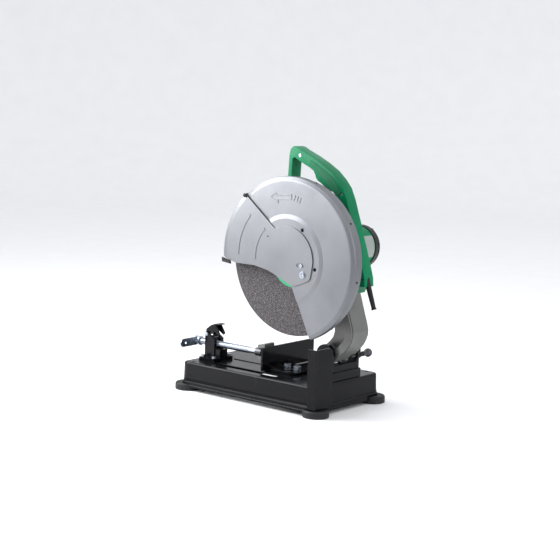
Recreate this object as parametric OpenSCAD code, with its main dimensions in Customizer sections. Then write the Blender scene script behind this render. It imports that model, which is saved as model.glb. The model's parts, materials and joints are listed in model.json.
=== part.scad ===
// Abrasive chop saw for cutting metal bar and section.
// Origin: middle of the base's footprint, on the bench. +Z up, +Y to the rear, +X to the wheel side.

/* [Base] */
// Width of the base across the front
base_w = 260; // [240:1:300]
// Length of the base, front to rear
base_l = 423; // [400:1:470]
// Height of the deck above the bench
deck_z = 70; // [60:1:90]
// Height of the skirt's lower edge above the bench
lip_z = 10; // [8:1:14]
// Thickness of the pressed steel sheet
sheet = 3; // [2:0.5:4]
// Radius of the pan's upright corners
pan_corner = 22; // [18:1:30]
// Radius of a rubber foot
foot_r = 31; // [24:1:34]

/* [Wheel] */
// Diameter of the abrasive wheel
wheel_d = 355; // [300:5:355]
// Thickness of the abrasive wheel
wheel_t = 3; // [2.5:0.5:3.5]
// Radius of the wheel's centre hole
wheel_bore_r = 12.7; // [12.7:0.1:12.7]
// Distance of the wheel's plane from the middle of the base
wheel_x = 90; // [86:1:94]
// Radius of the paper disc at the wheel's centre
label_r = 66; // [50:1:70]
// Radius of the clamping flanges
flange_r = 38; // [34:1:42]

/* [Head] */
// Distance of the spindle behind the middle of the base
spindle_y = 107; // [104:1:110]
// Height of the spindle with the head up
spindle_z = 349.5; // [346:0.5:352]
// Distance of the hinge behind the middle of the base
hinge_y = 175; // [172:1:178]
// Height of the hinge
hinge_z = 132; // [128:1:136]
// Radius of the hinge shaft
hinge_shaft_r = 8; // [7:0.5:9]
// Angle through which the head comes down
head_travel = 46; // [40:1:50]
// Radius of the motor's casing
motor_r = 48.5; // [46:0.5:50]
// Radius of the fixed cover's rim
guard_r = 189.3; // [186:0.1:192]

/* [Gears] */
// Tooth size: pitch diameter over number of teeth
gear_module = 2; // [2:0.5:2]
// Teeth on the spindle's gear
gear_teeth = 48; // [48:1:48]
// Teeth on the armature's pinion
pinion_teeth = 9; // [9:1:9]

/* [Vise] */
// Distance of the vise screw from the middle of the base
screw_x = 48; // [44:1:52]
// Height of the vise screw
screw_z = 109; // [106:1:112]
// Outer radius of the vise screw
screw_r = 8; // [7:0.5:9]
// Height of the jaws' top edge
jaw_top = 127; // [120:1:132]
// Width of the fixed jaw's plate
fixed_jaw_w = 196; // [160:1:198]

/* [Handle] */
// Width of the handle across its two halves
handle_w = 34; // [30:1:38]
// Distance of the handle's split from the middle of the base
handle_x = 6; // [4:1:8]

/* [Hidden] */
$fn = 64;
fit = 0.05;
gap = 0.3;
e = 0.01;

// Colours
pan_black = "#101014";
rubber_black = "#1a1a1a";
zinc = "#b9bec4";
cast_grey = "#a4a6a5";
guard_silver = "#b4b6ba";
green = "#10965f";
stone_grey = "#5a5755";
dark_steel = "#4a4d52";

// Where the gear train sits
centre_distance = gear_module * (gear_teeth + pinion_teeth) / 2;
gear_angle = 22.9;
motor_y = spindle_y + centre_distance * cos(gear_angle);
motor_z = spindle_z + centre_distance * sin(gear_angle);
motor_front = 25.8;
motor_rear = -85;
tail_end = -107;

// Faces of the covers along the spindle
guard_face = 116;
plateau_face = 118;
plateau_r = 94;
cover_gap = 0.4;
cover_face = plateau_face + cover_gap + 2;
cover_r = 192;
joint_x = 97;

// Ears of the hinge bracket, and the arm between them
ear_out = [-56, 52];
ear_t = 10;
arm_x = [-26, 39];
arm_face = 24;
ear_r = 24;

// Lock pin: it stands off the hinge and meets a hole in the arm once the head is down
lock_reach = 20;
lock_angle = -38.7;
lock_y = hinge_y + lock_reach * cos(lock_angle);
lock_z = hinge_z + lock_reach * sin(lock_angle);
lock_r = 4;
relief_r = 30;
neck_r = 13.5;
relief_x = -13;

// ---------- shared helpers ----------

// A flat outline drawn in (Y, Z), standing from x for a length along +X
module along_x(x, length) {
    translate([x, 0, 0]) rotate([90, 0, 90]) linear_extrude(length) children();
}

// A round bar along +X
module bar_x(x, length, y, z, r) {
    translate([x, y, z]) rotate([0, 90, 0]) cylinder(h = length, r = r);
}

// A round bar along +Y
module bar_y(x, y, z, length, r) {
    translate([x, y, z]) rotate([-90, 0, 0]) cylinder(h = length, r = r);
}

// A shape of revolution about the spindle; its outline is drawn in (radius, x)
module about_spindle(from = 0, sweep = 360) {
    translate([0, spindle_y, spindle_z]) rotate([0, 90, 0]) rotate([0, 0, from + 90])
        rotate_extrude(angle = sweep, $fn = 144) children();
}

// A shape of revolution about the motor's axis
module about_motor(from = 0, sweep = 360) {
    translate([0, motor_y, motor_z]) rotate([0, 90, 0]) rotate([0, 0, from + 90])
        rotate_extrude(angle = sweep, $fn = 96) children();
}

// A rectangle with round corners
module round_rect(w, l, r) {
    square([w - 2 * r, l], center = true);
    square([w, l - 2 * r], center = true);
    for (sx = [-1, 1], sy = [-1, 1]) translate([sx * (w / 2 - r), sy * (l / 2 - r)]) circle(r = r);
}

// A slot with round ends between two points
module slot2d(a, b, r) {
    turn = atan2(b.y - a.y, b.x - a.x);
    polygon(concat([for (t = [90:15:270]) a + r * [cos(turn + t), sin(turn + t)]],
                   [for (t = [-90:15:90]) b + r * [cos(turn + t), sin(turn + t)]]));
}

// A hexagon-headed bolt with its washer, pointing down from the seat at z = 0.
// nut_at is how far below the seat its nut starts; 0 leaves the nut out
module hex_bolt(across, head_h, shank_r, shank_l, washer_r, washer_t, nut_at = 0) {
    if (nut_at > 0) translate([0, 0, -nut_at - shank_r * 1.2]) cylinder(h = shank_r * 1.2,
        r = across / 2 / cos(30), $fn = 6);
    translate([0, 0, washer_t]) cylinder(h = head_h, r = across / 2 / cos(30), $fn = 6);
    cylinder(h = washer_t, r = washer_r);
    translate([0, 0, -shank_l]) cylinder(h = shank_l + e, r = shank_r);
}

// A pan-headed screw with a cross recess, head towards +Z, seat at z = 0
module pan_screw(head_r, head_h, shank_r, shank_l) {
    difference() {
        cylinder(h = head_h, r = head_r);
        for (a = [0, 90]) rotate(a)
            translate([-head_r * 0.6, -head_r * 0.11, head_h * 0.5])
                cube([head_r * 1.2, head_r * 0.22, head_h]);
    }
    translate([0, 0, -shank_l]) cylinder(h = shank_l + e, r = shank_r);
}

// ---------- base ----------

roll_r = 5;
skirt_in = 5;
flare_top = 36;
flare_low = 22;
bead_z = 15;
deck_edge = skirt_in + roll_r;

// Outer line of the skirt, as (distance out from the footprint, height)
function skirt_line() = concat(
    [for (a = [90:-15:0]) [roll_r * cos(a) - deck_edge, deck_z - roll_r + roll_r * sin(a)]],
    [for (t = [0:0.25:1]) [3.4 * (1 - cos(90 * t)) - 4.2, flare_top - (flare_top - flare_low) * sin(90 * t)]],
    [[-0.8, bead_z], [0, bead_z - 1], [0, lip_z]]);

module skirt_section() {
    line = skirt_line();
    inner = [for (i = [len(line) - 1:-1:0]) [line[i].x - sheet, min(line[i].y, deck_z - sheet)]];
    polygon(concat(line, inner));
}

module skirt() {
    for (side = [0, 180]) rotate(side) translate([base_w / 2, 0, 0]) rotate([90, 0, 0])
        linear_extrude(base_l - 2 * pan_corner, center = true) skirt_section();
    for (side = [90, 270]) rotate(side) translate([base_l / 2, 0, 0]) rotate([90, 0, 0])
        linear_extrude(base_w - 2 * pan_corner, center = true) skirt_section();
    for (sx = [0, 1], sy = [0, 1]) mirror([sx, 0, 0]) mirror([0, sy, 0])
        translate([base_w / 2 - pan_corner, base_l / 2 - pan_corner, 0])
            rotate_extrude(angle = 90) translate([pan_corner, 0]) skirt_section();
}

bench_hole = [112, 178];
bench_hole_r = 4.75;
foot_at = [109, 199];
corner_plate = [72, 152];
foot_screw_r = 3;
wheel_slot_w = 20;
wheel_slot_y = [-115, 60];
jaw_pivot = [16, 36];
jaw_clamp = [25, 74];
jaw_bolt_r = 5;
bracket_plate_z = 90;
bracket_bolts_at = [[-36, 140], [32, 140], [-36, 178], [32, 178]];
screw_bracket_y = [-189, -139];
screw_bracket_bolts_at = [[76, -182], [76, -146], [20, -182], [20, -146]];

module base_pan() {
    color(pan_black) difference() {
        union() {
            skirt();
            translate([0, 0, deck_z - sheet]) linear_extrude(sheet)
                round_rect(base_w - 2 * deck_edge, base_l - 2 * deck_edge, pan_corner - deck_edge);
            translate([0, 0, lip_z]) linear_extrude(sheet) intersection() {
                round_rect(base_w - 2, base_l - 2, pan_corner - 1);
                for (sx = [0, 1], sy = [0, 1]) mirror([sx, 0]) mirror([0, sy]) translate(corner_plate)
                    square(70);
            }
            translate([8, -135, deck_z - e]) cube([6, 115, 1.5]);
        }
        translate([0, 0, deck_z - 2 * sheet]) linear_extrude(3 * sheet)
            slot2d([wheel_x, wheel_slot_y[0]], [wheel_x, wheel_slot_y[1]], wheel_slot_w / 2);
        for (sx = [-1, 1], sy = [-1, 1]) {
            translate([sx * bench_hole.x, sy * bench_hole.y, lip_z]) cylinder(h = deck_z, r = bench_hole_r);
            translate([sx * foot_at.x, sy * foot_at.y, 0]) cylinder(h = lip_z + sheet + 1,
                r = foot_screw_r + fit);
        }
        for (p = [jaw_pivot, jaw_clamp]) translate([p.x, p.y, deck_z - 2 * sheet])
            cylinder(h = 3 * sheet, r = jaw_bolt_r + fit);
        for (p = bracket_bolts_at) translate([p.x, p.y, deck_z - 2 * sheet]) cylinder(h = 3 * sheet,
            r = 4 + fit);
        for (p = screw_bracket_bolts_at) translate([p.x, p.y, deck_z - 2 * sheet])
            cylinder(h = 3 * sheet, r = 3 + fit);
    }
}

foot_h = 17;

module feet() {
    color(rubber_black) for (sx = [0, 1], sy = [0, 1]) mirror([sx, 0, 0]) mirror([0, sy, 0]) difference() {
        translate([foot_at.x, foot_at.y, 0]) rotate_extrude()
            polygon([[0, 0], [foot_r - 1.5, 0], [foot_r, 1.5], [foot_r, foot_h - 3], [foot_r - 2, foot_h],
                [0, foot_h]]);
        translate([0, 0, lip_z]) linear_extrude(foot_h) round_rect(base_w + 2 * fit, base_l + 2 * fit,
            pan_corner);
        translate([bench_hole.x, bench_hole.y, -1]) cylinder(h = foot_h + 2, r = bench_hole_r);
        translate([foot_at.x, foot_at.y, -1]) cylinder(h = foot_h, r = foot_screw_r + fit);
        translate([foot_at.x, foot_at.y, -1]) cylinder(h = 5, r = 8);
    }
}

module foot_screws() {
    color(zinc) for (sx = [-1, 1], sy = [-1, 1]) translate([sx * foot_at.x, sy * foot_at.y, 4])
        rotate([180, 0, 0])
        pan_screw(6, 2.5, foot_screw_r, 14);
}

// ---------- hinge ----------

wall_y = [187, 195];
wall_top = 106;

module ear2d() {
    translate([hinge_y, hinge_z]) circle(r = ear_r);
    polygon([[hinge_y - ear_r, hinge_z], [hinge_y - ear_r - 14, bracket_plate_z - 1],
             [wall_y[1], bracket_plate_z - 1], [wall_y[1], lock_z - 6], [hinge_y + ear_r, hinge_z]]);
}

module hinge_bracket() {
    color(pan_black) difference() {
        union() {
            translate([ear_out[0] - 2, 128, deck_z]) cube([ear_out[1] - ear_out[0] + 4, 71,
                bracket_plate_z - deck_z]);
            along_x(ear_out[0], ear_t) ear2d();
            along_x(ear_out[1] - ear_t, ear_t) ear2d();
            translate([ear_out[0], wall_y[0], deck_z]) cube([ear_out[1] - ear_out[0],
                wall_y[1] - wall_y[0], wall_top - deck_z]);
            bar_x(ear_out[0] - 5, 5 + ear_t, lock_y, lock_z, 8);
        }
        translate([ear_out[0] + 8, 136, deck_z - 1]) cube([ear_out[1] - ear_out[0] - 16, 42, 12]);
        bar_x(ear_out[0] - 1, 120, hinge_y, hinge_z, hinge_shaft_r + fit);
        bar_x(ear_out[0] - 6, ear_t + 8, lock_y, lock_z, lock_r + fit);
        for (p = bracket_bolts_at) translate([p.x, p.y, deck_z - 1]) cylinder(h = 40, r = 4 + fit);
    }
}

module bracket_bolts() {
    color(zinc) for (p = bracket_bolts_at) translate([p.x, p.y, bracket_plate_z])
        hex_bolt(across = 12, head_h = 5, shank_r = 4, shank_l = 30, washer_r = 7, washer_t = 1.2,
            nut_at = 23.05);
}

module hinge_shaft() {
    color(zinc) difference() {
        union() {
            bar_x(ear_out[0] - 4, ear_out[1] - ear_out[0] + 8, hinge_y, hinge_z, hinge_shaft_r);
            bar_x(ear_out[1], 3, hinge_y, hinge_z, hinge_shaft_r + 4);
            bar_x(ear_out[0] - 2.2, 1.8, hinge_y, hinge_z, hinge_shaft_r + 3.5);
        }
        bar_x(ear_out[1] + 2, 3, hinge_y, hinge_z, 3);
    }
}

// Torsion spring that lifts the head: a wire wound on the hinge shaft
spring_coil_r = 12;
spring_wire_r = 1.6;
spring_turns = 4.5;
spring_steps = 24;
spring_sides = 8;

function ring_of(c, d, r) = let (n = [0, 0, 1], u = cross(d, n) / norm(cross(d, n)), w = cross(u, d))
    [for (k = [0:spring_sides - 1]) let (a = 360 * k / spring_sides) c + r * (cos(a) * u + sin(a) * w)];

module return_spring() {
    count = round(spring_turns * spring_steps);
    rise = 3.5 / spring_steps;
    rings = [for (i = [0:count]) let (a = 360 * i / spring_steps)
        ring_of([spring_coil_r * cos(a), spring_coil_r * sin(a), rise * i], [-sin(a), cos(a), 0.046],
            spring_wire_r)];
    points = [for (ring = rings) each ring];
    sides = [for (i = [0:count - 1], k = [0:spring_sides - 1]) let (a = i * spring_sides, b = (k + 1)
        % spring_sides)
        [a + k, a + spring_sides + k, a + spring_sides + b, a + b]];
    caps = [[for (k = [0:spring_sides - 1]) k],
            [for (k = [spring_sides - 1:-1:0]) count * spring_sides + k]];
    color(zinc) translate([ear_out[0] + ear_t + 2.2, hinge_y, hinge_z]) rotate([0, 90, 0])
        polyhedron(points, concat(caps, sides));
}

pin_out = -62;
pin_knob_x = -97;
knob_r = 10.5;

module lock_pin() {
    knob = [for (a = [-90:10:50]) [knob_r * cos(a), knob_r * sin(a)]];
    collar = pin_out - 11 - pin_knob_x;
    color(dark_steel) translate([pin_knob_x, lock_y, lock_z]) rotate([0, 90, 0]) rotate_extrude()
        polygon(concat([for (p = knob) [abs(p.x) < e ? 0 : p.x, p.y]], [[6, knob_r * sin(60)], [6, collar],
            [lock_r, collar],
            [lock_r, arm_x[0] - 2 - pin_knob_x], [0, arm_x[0] - 2 - pin_knob_x]]));
}

// ---------- spark guard ----------

spark_top = 157;
spark_low = 20;

module spark_guard() {
    color(pan_black) difference() {
        union() {
            translate([base_w / 2 + gap, 191, spark_low]) cube([sheet, 24.5, spark_top - spark_low]);
            translate([0, base_l / 2 + gap + sheet, 0]) rotate([90, 0, 0]) linear_extrude(sheet)
                polygon([[72, spark_low], [base_w / 2 + sheet + gap, spark_low], [base_w / 2 + sheet + gap,
                    spark_top],
                         [84, spark_top], [76, spark_top - 4], [72, spark_top - 12]]);
            translate([82, base_l / 2 - 14, deck_z]) cube([34, 17, sheet]);
        }
        translate([94, base_l / 2 - 7, deck_z - 1]) cylinder(h = 6, r = 2.6);
        translate([108, base_l / 2 - 7, deck_z - 1]) cylinder(h = 6, r = 2.6);
    }
}

module spark_guard_screws() {
    color(zinc) for (x = [94, 108]) translate([x, base_l / 2 - 7, deck_z + sheet]) pan_screw(4.5, 2.4, 2.5,
        3);
}

// ---------- vise ----------

jaw_face_y = 8;
jaw_plate_t = 5;
fixed_jaw_x = [80 - fixed_jaw_w, 80];
slot_reach = norm(jaw_clamp - jaw_pivot);
slot_from = atan2(jaw_clamp.y - jaw_pivot.y, jaw_clamp.x - jaw_pivot.x);
jaw_turn = 45;
slot_end = 8.5;

module fixed_jaw() {
    color(pan_black) difference() {
        union() {
            translate([fixed_jaw_x[0], jaw_face_y, deck_z + 2]) cube([fixed_jaw_w, jaw_plate_t,
                jaw_top - deck_z - 2]);
            translate([0, 0, deck_z + gap]) linear_extrude(6) polygon([[-24, jaw_face_y], [64, jaw_face_y],
                [64, 30], [62, 84], [50, 96], [8, 96], [-6, 84], [-24, 40]]);
            translate([-20, jaw_face_y + 1, deck_z + 3]) rotate([90, 0, 90]) linear_extrude(5)
                polygon([[0, 0], [26, 0], [26, 4], [4, 12], [0, 12]]);
            translate([56, jaw_face_y + 1, deck_z + 3]) rotate([90, 0, 90]) linear_extrude(5)
                polygon([[0, 0], [40, 0], [40, 4], [4, 12], [0, 12]]);
        }
        translate([jaw_pivot.x, jaw_pivot.y, deck_z]) cylinder(h = 20, r = jaw_bolt_r + fit);
        translate([jaw_pivot.x, jaw_pivot.y, deck_z]) rotate(slot_from - jaw_turn - slot_end)
            rotate_extrude(angle = jaw_turn + 2 * slot_end)
                translate([slot_reach - jaw_bolt_r - gap, -1]) square([2 * jaw_bolt_r + 2 * gap, 20]);
    }
}

module jaw_bolts() {
    color(zinc) for (p = [jaw_pivot, jaw_clamp]) translate([p.x, p.y, deck_z + 6 + 2 * gap])
        hex_bolt(across = 17, head_h = 7, shank_r = jaw_bolt_r, shank_l = 17, washer_r = 9.5,
            washer_t = 1.8, nut_at = 9.65);
}

bracket_x = [31, 65];
bracket_top = 138;
bracket_neck_y = [-186, -155];
nut_x = [38, 58];
nut_y = [-176, -164];
nut_lift = 5;

module screw_bracket() {
    color(pan_black) difference() {
        union() {
            translate([14, screw_bracket_y[0], deck_z]) cube([68, screw_bracket_y[1] - screw_bracket_y[0],
                8]);
            along_x(bracket_x[0], bracket_x[1] - bracket_x[0])
                polygon([[bracket_neck_y[0], deck_z + 4], [bracket_neck_y[0], bracket_top],
                    [bracket_neck_y[0] + 6, bracket_top],
                         [bracket_neck_y[1], screw_z + 14], [bracket_neck_y[1], deck_z + 4]]);
            translate([bracket_x[0] + 3, bracket_neck_y[1] - e, deck_z + 4]) cube([28, 16, 24]);
        }
        translate([screw_x - screw_r - gap, screw_bracket_y[0] - 10, screw_z - screw_r - gap])
            cube([2 * (screw_r + gap), 80, 60]);
        translate([nut_x[0] - gap, nut_y[0] - gap, screw_z]) cube([nut_x[1] - nut_x[0] + 2 * gap,
            nut_y[1] - nut_y[0] + 2 * gap, 40]);
        translate([bracket_x[0] + 5, bracket_neck_y[0] - 1, bracket_top - 12]) cube([24, 60, 40]);
        bar_x(bracket_x[0] - 1, 60, lever_y, lever_z, 2.5 + fit);
        for (p = screw_bracket_bolts_at) translate([p.x, p.y, deck_z - 1]) cylinder(h = 20, r = 3 + fit);
    }
}

module screw_bracket_bolts() {
    color(zinc) for (p = screw_bracket_bolts_at) translate([p.x, p.y, deck_z + 8])
        hex_bolt(across = 10, head_h = 4, shank_r = 3, shank_l = 16, washer_r = 5.5, washer_t = 1,
            nut_at = 11.05);
}

lever_y = -181;
lever_z = 133;

module lever_pin() {
    color(zinc) {
        bar_x(bracket_x[0] - 2, bracket_x[1] - bracket_x[0] + 4, lever_y, lever_z, 2.5);
        bar_x(bracket_x[1], 1.6, lever_y, lever_z, 4.5);
        bar_x(bracket_x[0] - 1.6, 1.6, lever_y, lever_z, 4.5);
    }
}

module release_lever() {
    lx = bracket_x[0] + 6;
    lw = 22;
    color(pan_black) difference() {
        union() {
            along_x(lx, lw) polygon([[-187, 133], [-186, 140], [-170, 152], [-158, 157], [-146, 158],
                [-145, 160],
                [-158, 160.5], [-172, 155.5], [-188, 144], [-189, 134]]);
            for (x = [lx, lx + lw - 3]) along_x(x, 3)
                polygon([[-188, 133], [-186, 142], [-170, 153], [-158, 158], [-144, 137], [-148, 132],
                    [-162, 140],
                         [-176, 134], [-179, 128.5], [-184, 128.5]]);
        }
        bar_x(lx - 1, lw + 2, lever_y, lever_z, 2.5 + fit);
    }
}

module half_nut() {
    color(zinc) difference() {
        translate([nut_x[0], nut_y[0], screw_z + 2]) cube([nut_x[1] - nut_x[0], nut_y[1] - nut_y[0], 15.5]);
        bar_y(screw_x, nut_y[0] - 1, screw_z, 20, screw_r + gap);
    }
}

block_y = [-32, -14];
block_r = 9.8;
movable_jaw_x = [21, 57];
jaw_ear_t = 8;
jaw_ear_z = [screw_z - block_r - gap - jaw_ear_t, screw_z + block_r + gap];
journal_end = -24.5;

module thrust_block() {
    color(dark_steel) difference() {
        union() {
            bar_y(screw_x, block_y[0], screw_z, block_y[1] - block_y[0], block_r);
            bar_y(screw_x, block_y[0], screw_z, 3, block_r - 1.5);
        }
        bar_y(screw_x, block_y[0] - 1, screw_z, journal_end - block_y[0] + 1.2, screw_r - 2 + fit);
        translate([screw_x, block_y[1] - 5, screw_z - 20]) cylinder(h = 40, r = 2.5 + fit);
    }
}

module movable_jaw() {
    color(cast_grey) difference() {
        union() {
            translate([movable_jaw_x[0], -8.5, deck_z + 1.5])
                cube([movable_jaw_x[1] - movable_jaw_x[0], 8, jaw_top - deck_z + 3]);
            for (z = jaw_ear_z) translate([screw_x - 7, block_y[1] - 10, z]) cube([14, 16, jaw_ear_t]);
        }
        translate([screw_x, block_y[1] - 5, deck_z]) cylinder(h = 80, r = 2.5 + fit);
    }
}

module jaw_pin() {
    color(zinc) translate([screw_x, block_y[1] - 5, jaw_ear_z[0]])
        cylinder(h = jaw_ear_z[1] + jaw_ear_t - jaw_ear_z[0] + 0.4, r = 2.5);
}

screw_front = -226;
thread_turns = 16;

module lead_screw() {
    color(zinc) difference() {
        union() {
            bar_y(screw_x, screw_front, screw_z, block_y[0] - gap - screw_front, screw_r - 1);
            bar_y(screw_x, screw_front + 12, screw_z, block_y[0] - screw_front - 16, screw_r);
            bar_y(screw_x, block_y[0] - 1, screw_z, journal_end - block_y[0] + 1, screw_r - 2);
        }
        for (i = [0:thread_turns - 1]) translate([screw_x, block_y[0] - 12 - 8 * i, screw_z]) rotate([-90,
            0, 0])
            rotate_extrude() polygon([[screw_r - 0.9, 1.4], [screw_r + 1, 0.4], [screw_r + 1, 3.6],
                [screw_r - 0.9, 2.6]]);
    }
}

module crank() {
    color(zinc) difference() {
        union() {
            translate([0, screw_front, 0]) rotate([-90, 0, 0]) linear_extrude(5)
                slot2d([screw_x, -screw_z], [screw_x + 56, -screw_z], 10);
            bar_y(screw_x, screw_front - 6, screw_z, 18, 11.5);
        }
        bar_y(screw_x, screw_front - e, screw_z, 40, screw_r - 1);
        bar_y(screw_x + 48, screw_front - 1, screw_z, 10, 3);
    }
}

// ---------- head: arm and gear housing ----------

case_r = 57;
pinion_case_r = 32;

// Outline of the gear housing, grown or shrunk
module case2d(grow = 0) {
    translate([spindle_y, spindle_z]) circle(r = case_r + grow);
    translate([motor_y, motor_z]) circle(r = pinion_case_r + grow);
    translate([spindle_y, spindle_z]) rotate(gear_angle) polygon([
        [10, case_r + grow - 1], [centre_distance + 10, pinion_case_r + grow - 1.6],
        [centre_distance + 10, -(pinion_case_r + grow - 1.6)], [10, -(case_r + grow - 1)]]);
}

// Side view of the arm, from its rear edge down round the hinge to its front edge
arm_rear = [[196, 119], [211, 134], [219, 142], [229, 154], [235, 165], [239.5, 178], [240, 190], [236.5,
    204],
            [230, 223], [222, 247], [214, 272], [206, 300], [203, 318]];
arm_front = [[118, 318], [126, 296], [143, 262], [161, 232], [175, 210], [180.5, 198], [181, 184], [177, 171],
             [168, 160], [156, 149]];

module arm2d() {
    polygon(concat([[hinge_y, hinge_z]], arm_rear, arm_front));
    translate([hinge_y, hinge_z]) circle(r = 22.5);
}

// The rib along the arm's rear edge
module arm_rib2d(inset = 0) {
    difference() {
        polygon(concat([[193, 116]], [for (p = arm_rear) [p.x - inset, p.y]], [[188, 318], [188, 300]],
            [[196, 272], [204, 247], [212, 223], [218.5, 204], [221.5, 190], [221, 178], [216.5, 168],
                [207, 156], [196, 145], [182, 128]]));
        translate([hinge_y, hinge_z]) circle(r = 11);
    }
}

cover_screws_at = [for (a = [100, 160, 220, 280, -20]) [(case_r - 1.5) * cos(a), (case_r - 1.5) * sin(a)]];
guard_bolts_at = [for (a = [30, 120, 210, 300]) [45 * cos(a), 45 * sin(a)]];
case_split = 46;
bearing_front_r = 20;
bearing_rear_r = 16;
arm_bearing_r = 13;

module arm() {
    color(cast_grey) difference() {
        union() {
            difference() {
                along_x(arm_x[0], arm_face - arm_x[0]) arm2d();
                bar_x(arm_x[0] - 1, relief_x - arm_x[0] + 1, hinge_y, hinge_z, relief_r);
            }
            bar_x(arm_x[0], arm_x[1] - arm_x[0], hinge_y, hinge_z, neck_r);
            bar_x(relief_x, arm_x[1] - relief_x, hinge_y, hinge_z, 22.5);
            along_x(arm_face - e, arm_x[1] - 7 - arm_face + 2 * e) arm_rib2d();
            along_x(arm_x[1] - 7, 3 + e) arm_rib2d(5);
            along_x(arm_x[1] - 4, 4) arm_rib2d();
            bar_x(arm_x[0], relief_x - arm_x[0] + e, hinge_y + lock_reach * cos(lock_angle - head_travel),
                  hinge_z + lock_reach * sin(lock_angle - head_travel), 8);
            along_x(26, case_split - 26) case2d();
            for (p = cover_screws_at) bar_x(30, case_split - 30, spindle_y + p.x, spindle_z + p.y, 6);
            along_x(handle_x + handle_w / 2, 5) polygon([[62, 372], [106, 386], [106, 427], [62, 432]]);
            along_x(26, 13) polygon([[118, 318], [203, 318], [198, 352], [150, 352], [118, 330]]);
        }
        along_x(31, case_split) case2d(-5);
        for (p = cover_screws_at) bar_x(34, 20, spindle_y + p.x, spindle_z + p.y, 2.5 + fit);
        bar_x(relief_x - 20, 80, hinge_y, hinge_z, hinge_shaft_r + fit);
        bar_x(arm_x[0] - 1, 11, hinge_y + lock_reach * cos(lock_angle - head_travel),
              hinge_z + lock_reach * sin(lock_angle - head_travel), lock_r + gap);
        bar_x(20, 20, motor_y, motor_z, 8);
    }
    color(cast_grey) difference() {
        union() {
            bar_x(31 - e, 11, spindle_y, spindle_z, bearing_rear_r + 4);
            bar_x(31 - e, 9, motor_y, motor_z, arm_bearing_r + 4);
        }
        bar_x(32, 20, spindle_y, spindle_z, bearing_rear_r);
        bar_x(20, 40, motor_y, motor_z, arm_bearing_r);
    }
}

module gear_cover() {
    color(cast_grey) difference() {
        union() {
            along_x(case_split + 0.2, 20) case2d();
            bar_x(60, 17.5, spindle_y, spindle_z, bearing_front_r + 6);
            for (p = cover_screws_at) bar_x(case_split + 0.2, 22, spindle_y + p.x, spindle_z + p.y, 6);
            for (p = guard_bolts_at) bar_x(62, 16, spindle_y + p.x, spindle_z + p.y, 6);
        }
        along_x(case_split, 16) case2d(-5);
        for (p = guard_bolts_at) bar_x(66, 16, spindle_y + p.x, spindle_z + p.y, 2.5 + fit);
        bar_x(60, 30, spindle_y, spindle_z, bearing_front_r - 3);
        bar_x(64, 12, spindle_y, spindle_z, bearing_front_r);
        for (p = cover_screws_at) bar_x(case_split - 1, 30, spindle_y + p.x, spindle_z + p.y, 2.5 + fit);
    }
}

module gear_cover_screws() {
    color(zinc) for (p = cover_screws_at) translate([case_split + 22.2, spindle_y + p.x, spindle_z + p.y])
        rotate([0, 90, 0]) pan_screw(5, 3, 2.5, 33);
}

// A ball bearing: two rings with a groove between them and its balls
module ball_bearing(x, width, y, z, bore_r, outer_r) {
    mid = (bore_r + outer_r) / 2;
    ball = (outer_r - bore_r) * 0.22;
    translate([x, y, z]) rotate([0, 90, 0]) {
        difference() {
            cylinder(h = width, r = outer_r);
            translate([0, 0, -1]) cylinder(h = width + 2, r = mid + ball * 0.6);
        }
        difference() {
            cylinder(h = width, r = mid - ball * 0.6);
            translate([0, 0, -1]) cylinder(h = width + 2, r = bore_r);
        }
        for (a = [0:45:315]) rotate(a) translate([mid, 0, width / 2]) sphere(r = ball, $fn = 16);
    }
}

module spindle_bearings() {
    color(dark_steel) {
        ball_bearing(32, 10, spindle_y, spindle_z, 10 + fit, bearing_rear_r);
        ball_bearing(64, 12, spindle_y, spindle_z, 10 + fit, bearing_front_r);
    }
}

module armature_bearings() {
    color(dark_steel) {
        ball_bearing(31, 9, motor_y, motor_z, 5 + fit, arm_bearing_r);
        ball_bearing(-101.5, 6.5, motor_y, motor_z, 5 + fit, 11);
    }
}

// ---------- guards ----------

// The open sector at the front, below the movable cover
module open_sector2d(hub_r) {
    translate([spindle_y, spindle_z]) difference() {
        polygon([[17.3, -58.3], [8, -38], [-40, 4], [-260, 4], [-260, -260], [112, -260]]);
        circle(r = hub_r);
    }
}

guard_screw_r = 83.5;
guard_screw_angles = [58.3, -9.8];
rim_screw_angles = [-50, -10, 30, 70, 110, 150];

// Holes for the screws that join the two shells round the rim
module rim_screw_holes() {
    for (a = rim_screw_angles) translate([joint_x + 2.5, spindle_y, spindle_z]) rotate([a, 0, 0])
        translate([0, guard_r - 8, 0]) rotate([-90, 0, 0]) cylinder(h = 12, r = 0.9 + fit);
}

module arrow2d(grow) {
    polygon([[-56 - 2 * grow, 138 - grow], [-36 + grow, 151 + grow], [-34 + grow, 146 + grow], [8 + grow,
        149.5 + grow],
             [9 + grow, 137 - grow], [-30 + grow, 134.5 - grow], [-29 + grow, 127 - 2 * grow]]);
}

module outer_guard() {
    color(guard_silver) {
        difference() {
            about_spindle() polygon([[0, plateau_face], [plateau_r, plateau_face], [plateau_r + 10,
                guard_face],
                [178, guard_face], [181, guard_face - 0.4], [guard_r - 0.8, guard_face - 4], [guard_r,
                    guard_face - 6],
                [guard_r, joint_x], [guard_r - 2, joint_x], [guard_r - 2, guard_face - 6.5], [180,
                    guard_face - 2.4],
                [plateau_r + 9.5, guard_face - 2], [plateau_r - 0.5, plateau_face - 2], [0,
                    plateau_face - 2]]);
            along_x(joint_x - 5, 40) open_sector2d(44);
            for (a = guard_screw_angles) bar_x(100, 30, spindle_y + guard_screw_r * cos(a),
                spindle_z + guard_screw_r * sin(a), 4.4);
            rim_screw_holes();
        }
        translate([0, spindle_y, spindle_z]) along_x(guard_face - e, 0.9) difference() {
            arrow2d(0);
            arrow2d(-2.2);
        }
        for (i = [0:2]) translate([0, spindle_y, spindle_z]) along_x(guard_face - e, 0.9)
            slot2d([15 + 8 * i, 136 - 2 * i], [19 + 8 * i, 147 - 2 * i], 1.3);
    }
}

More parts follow.
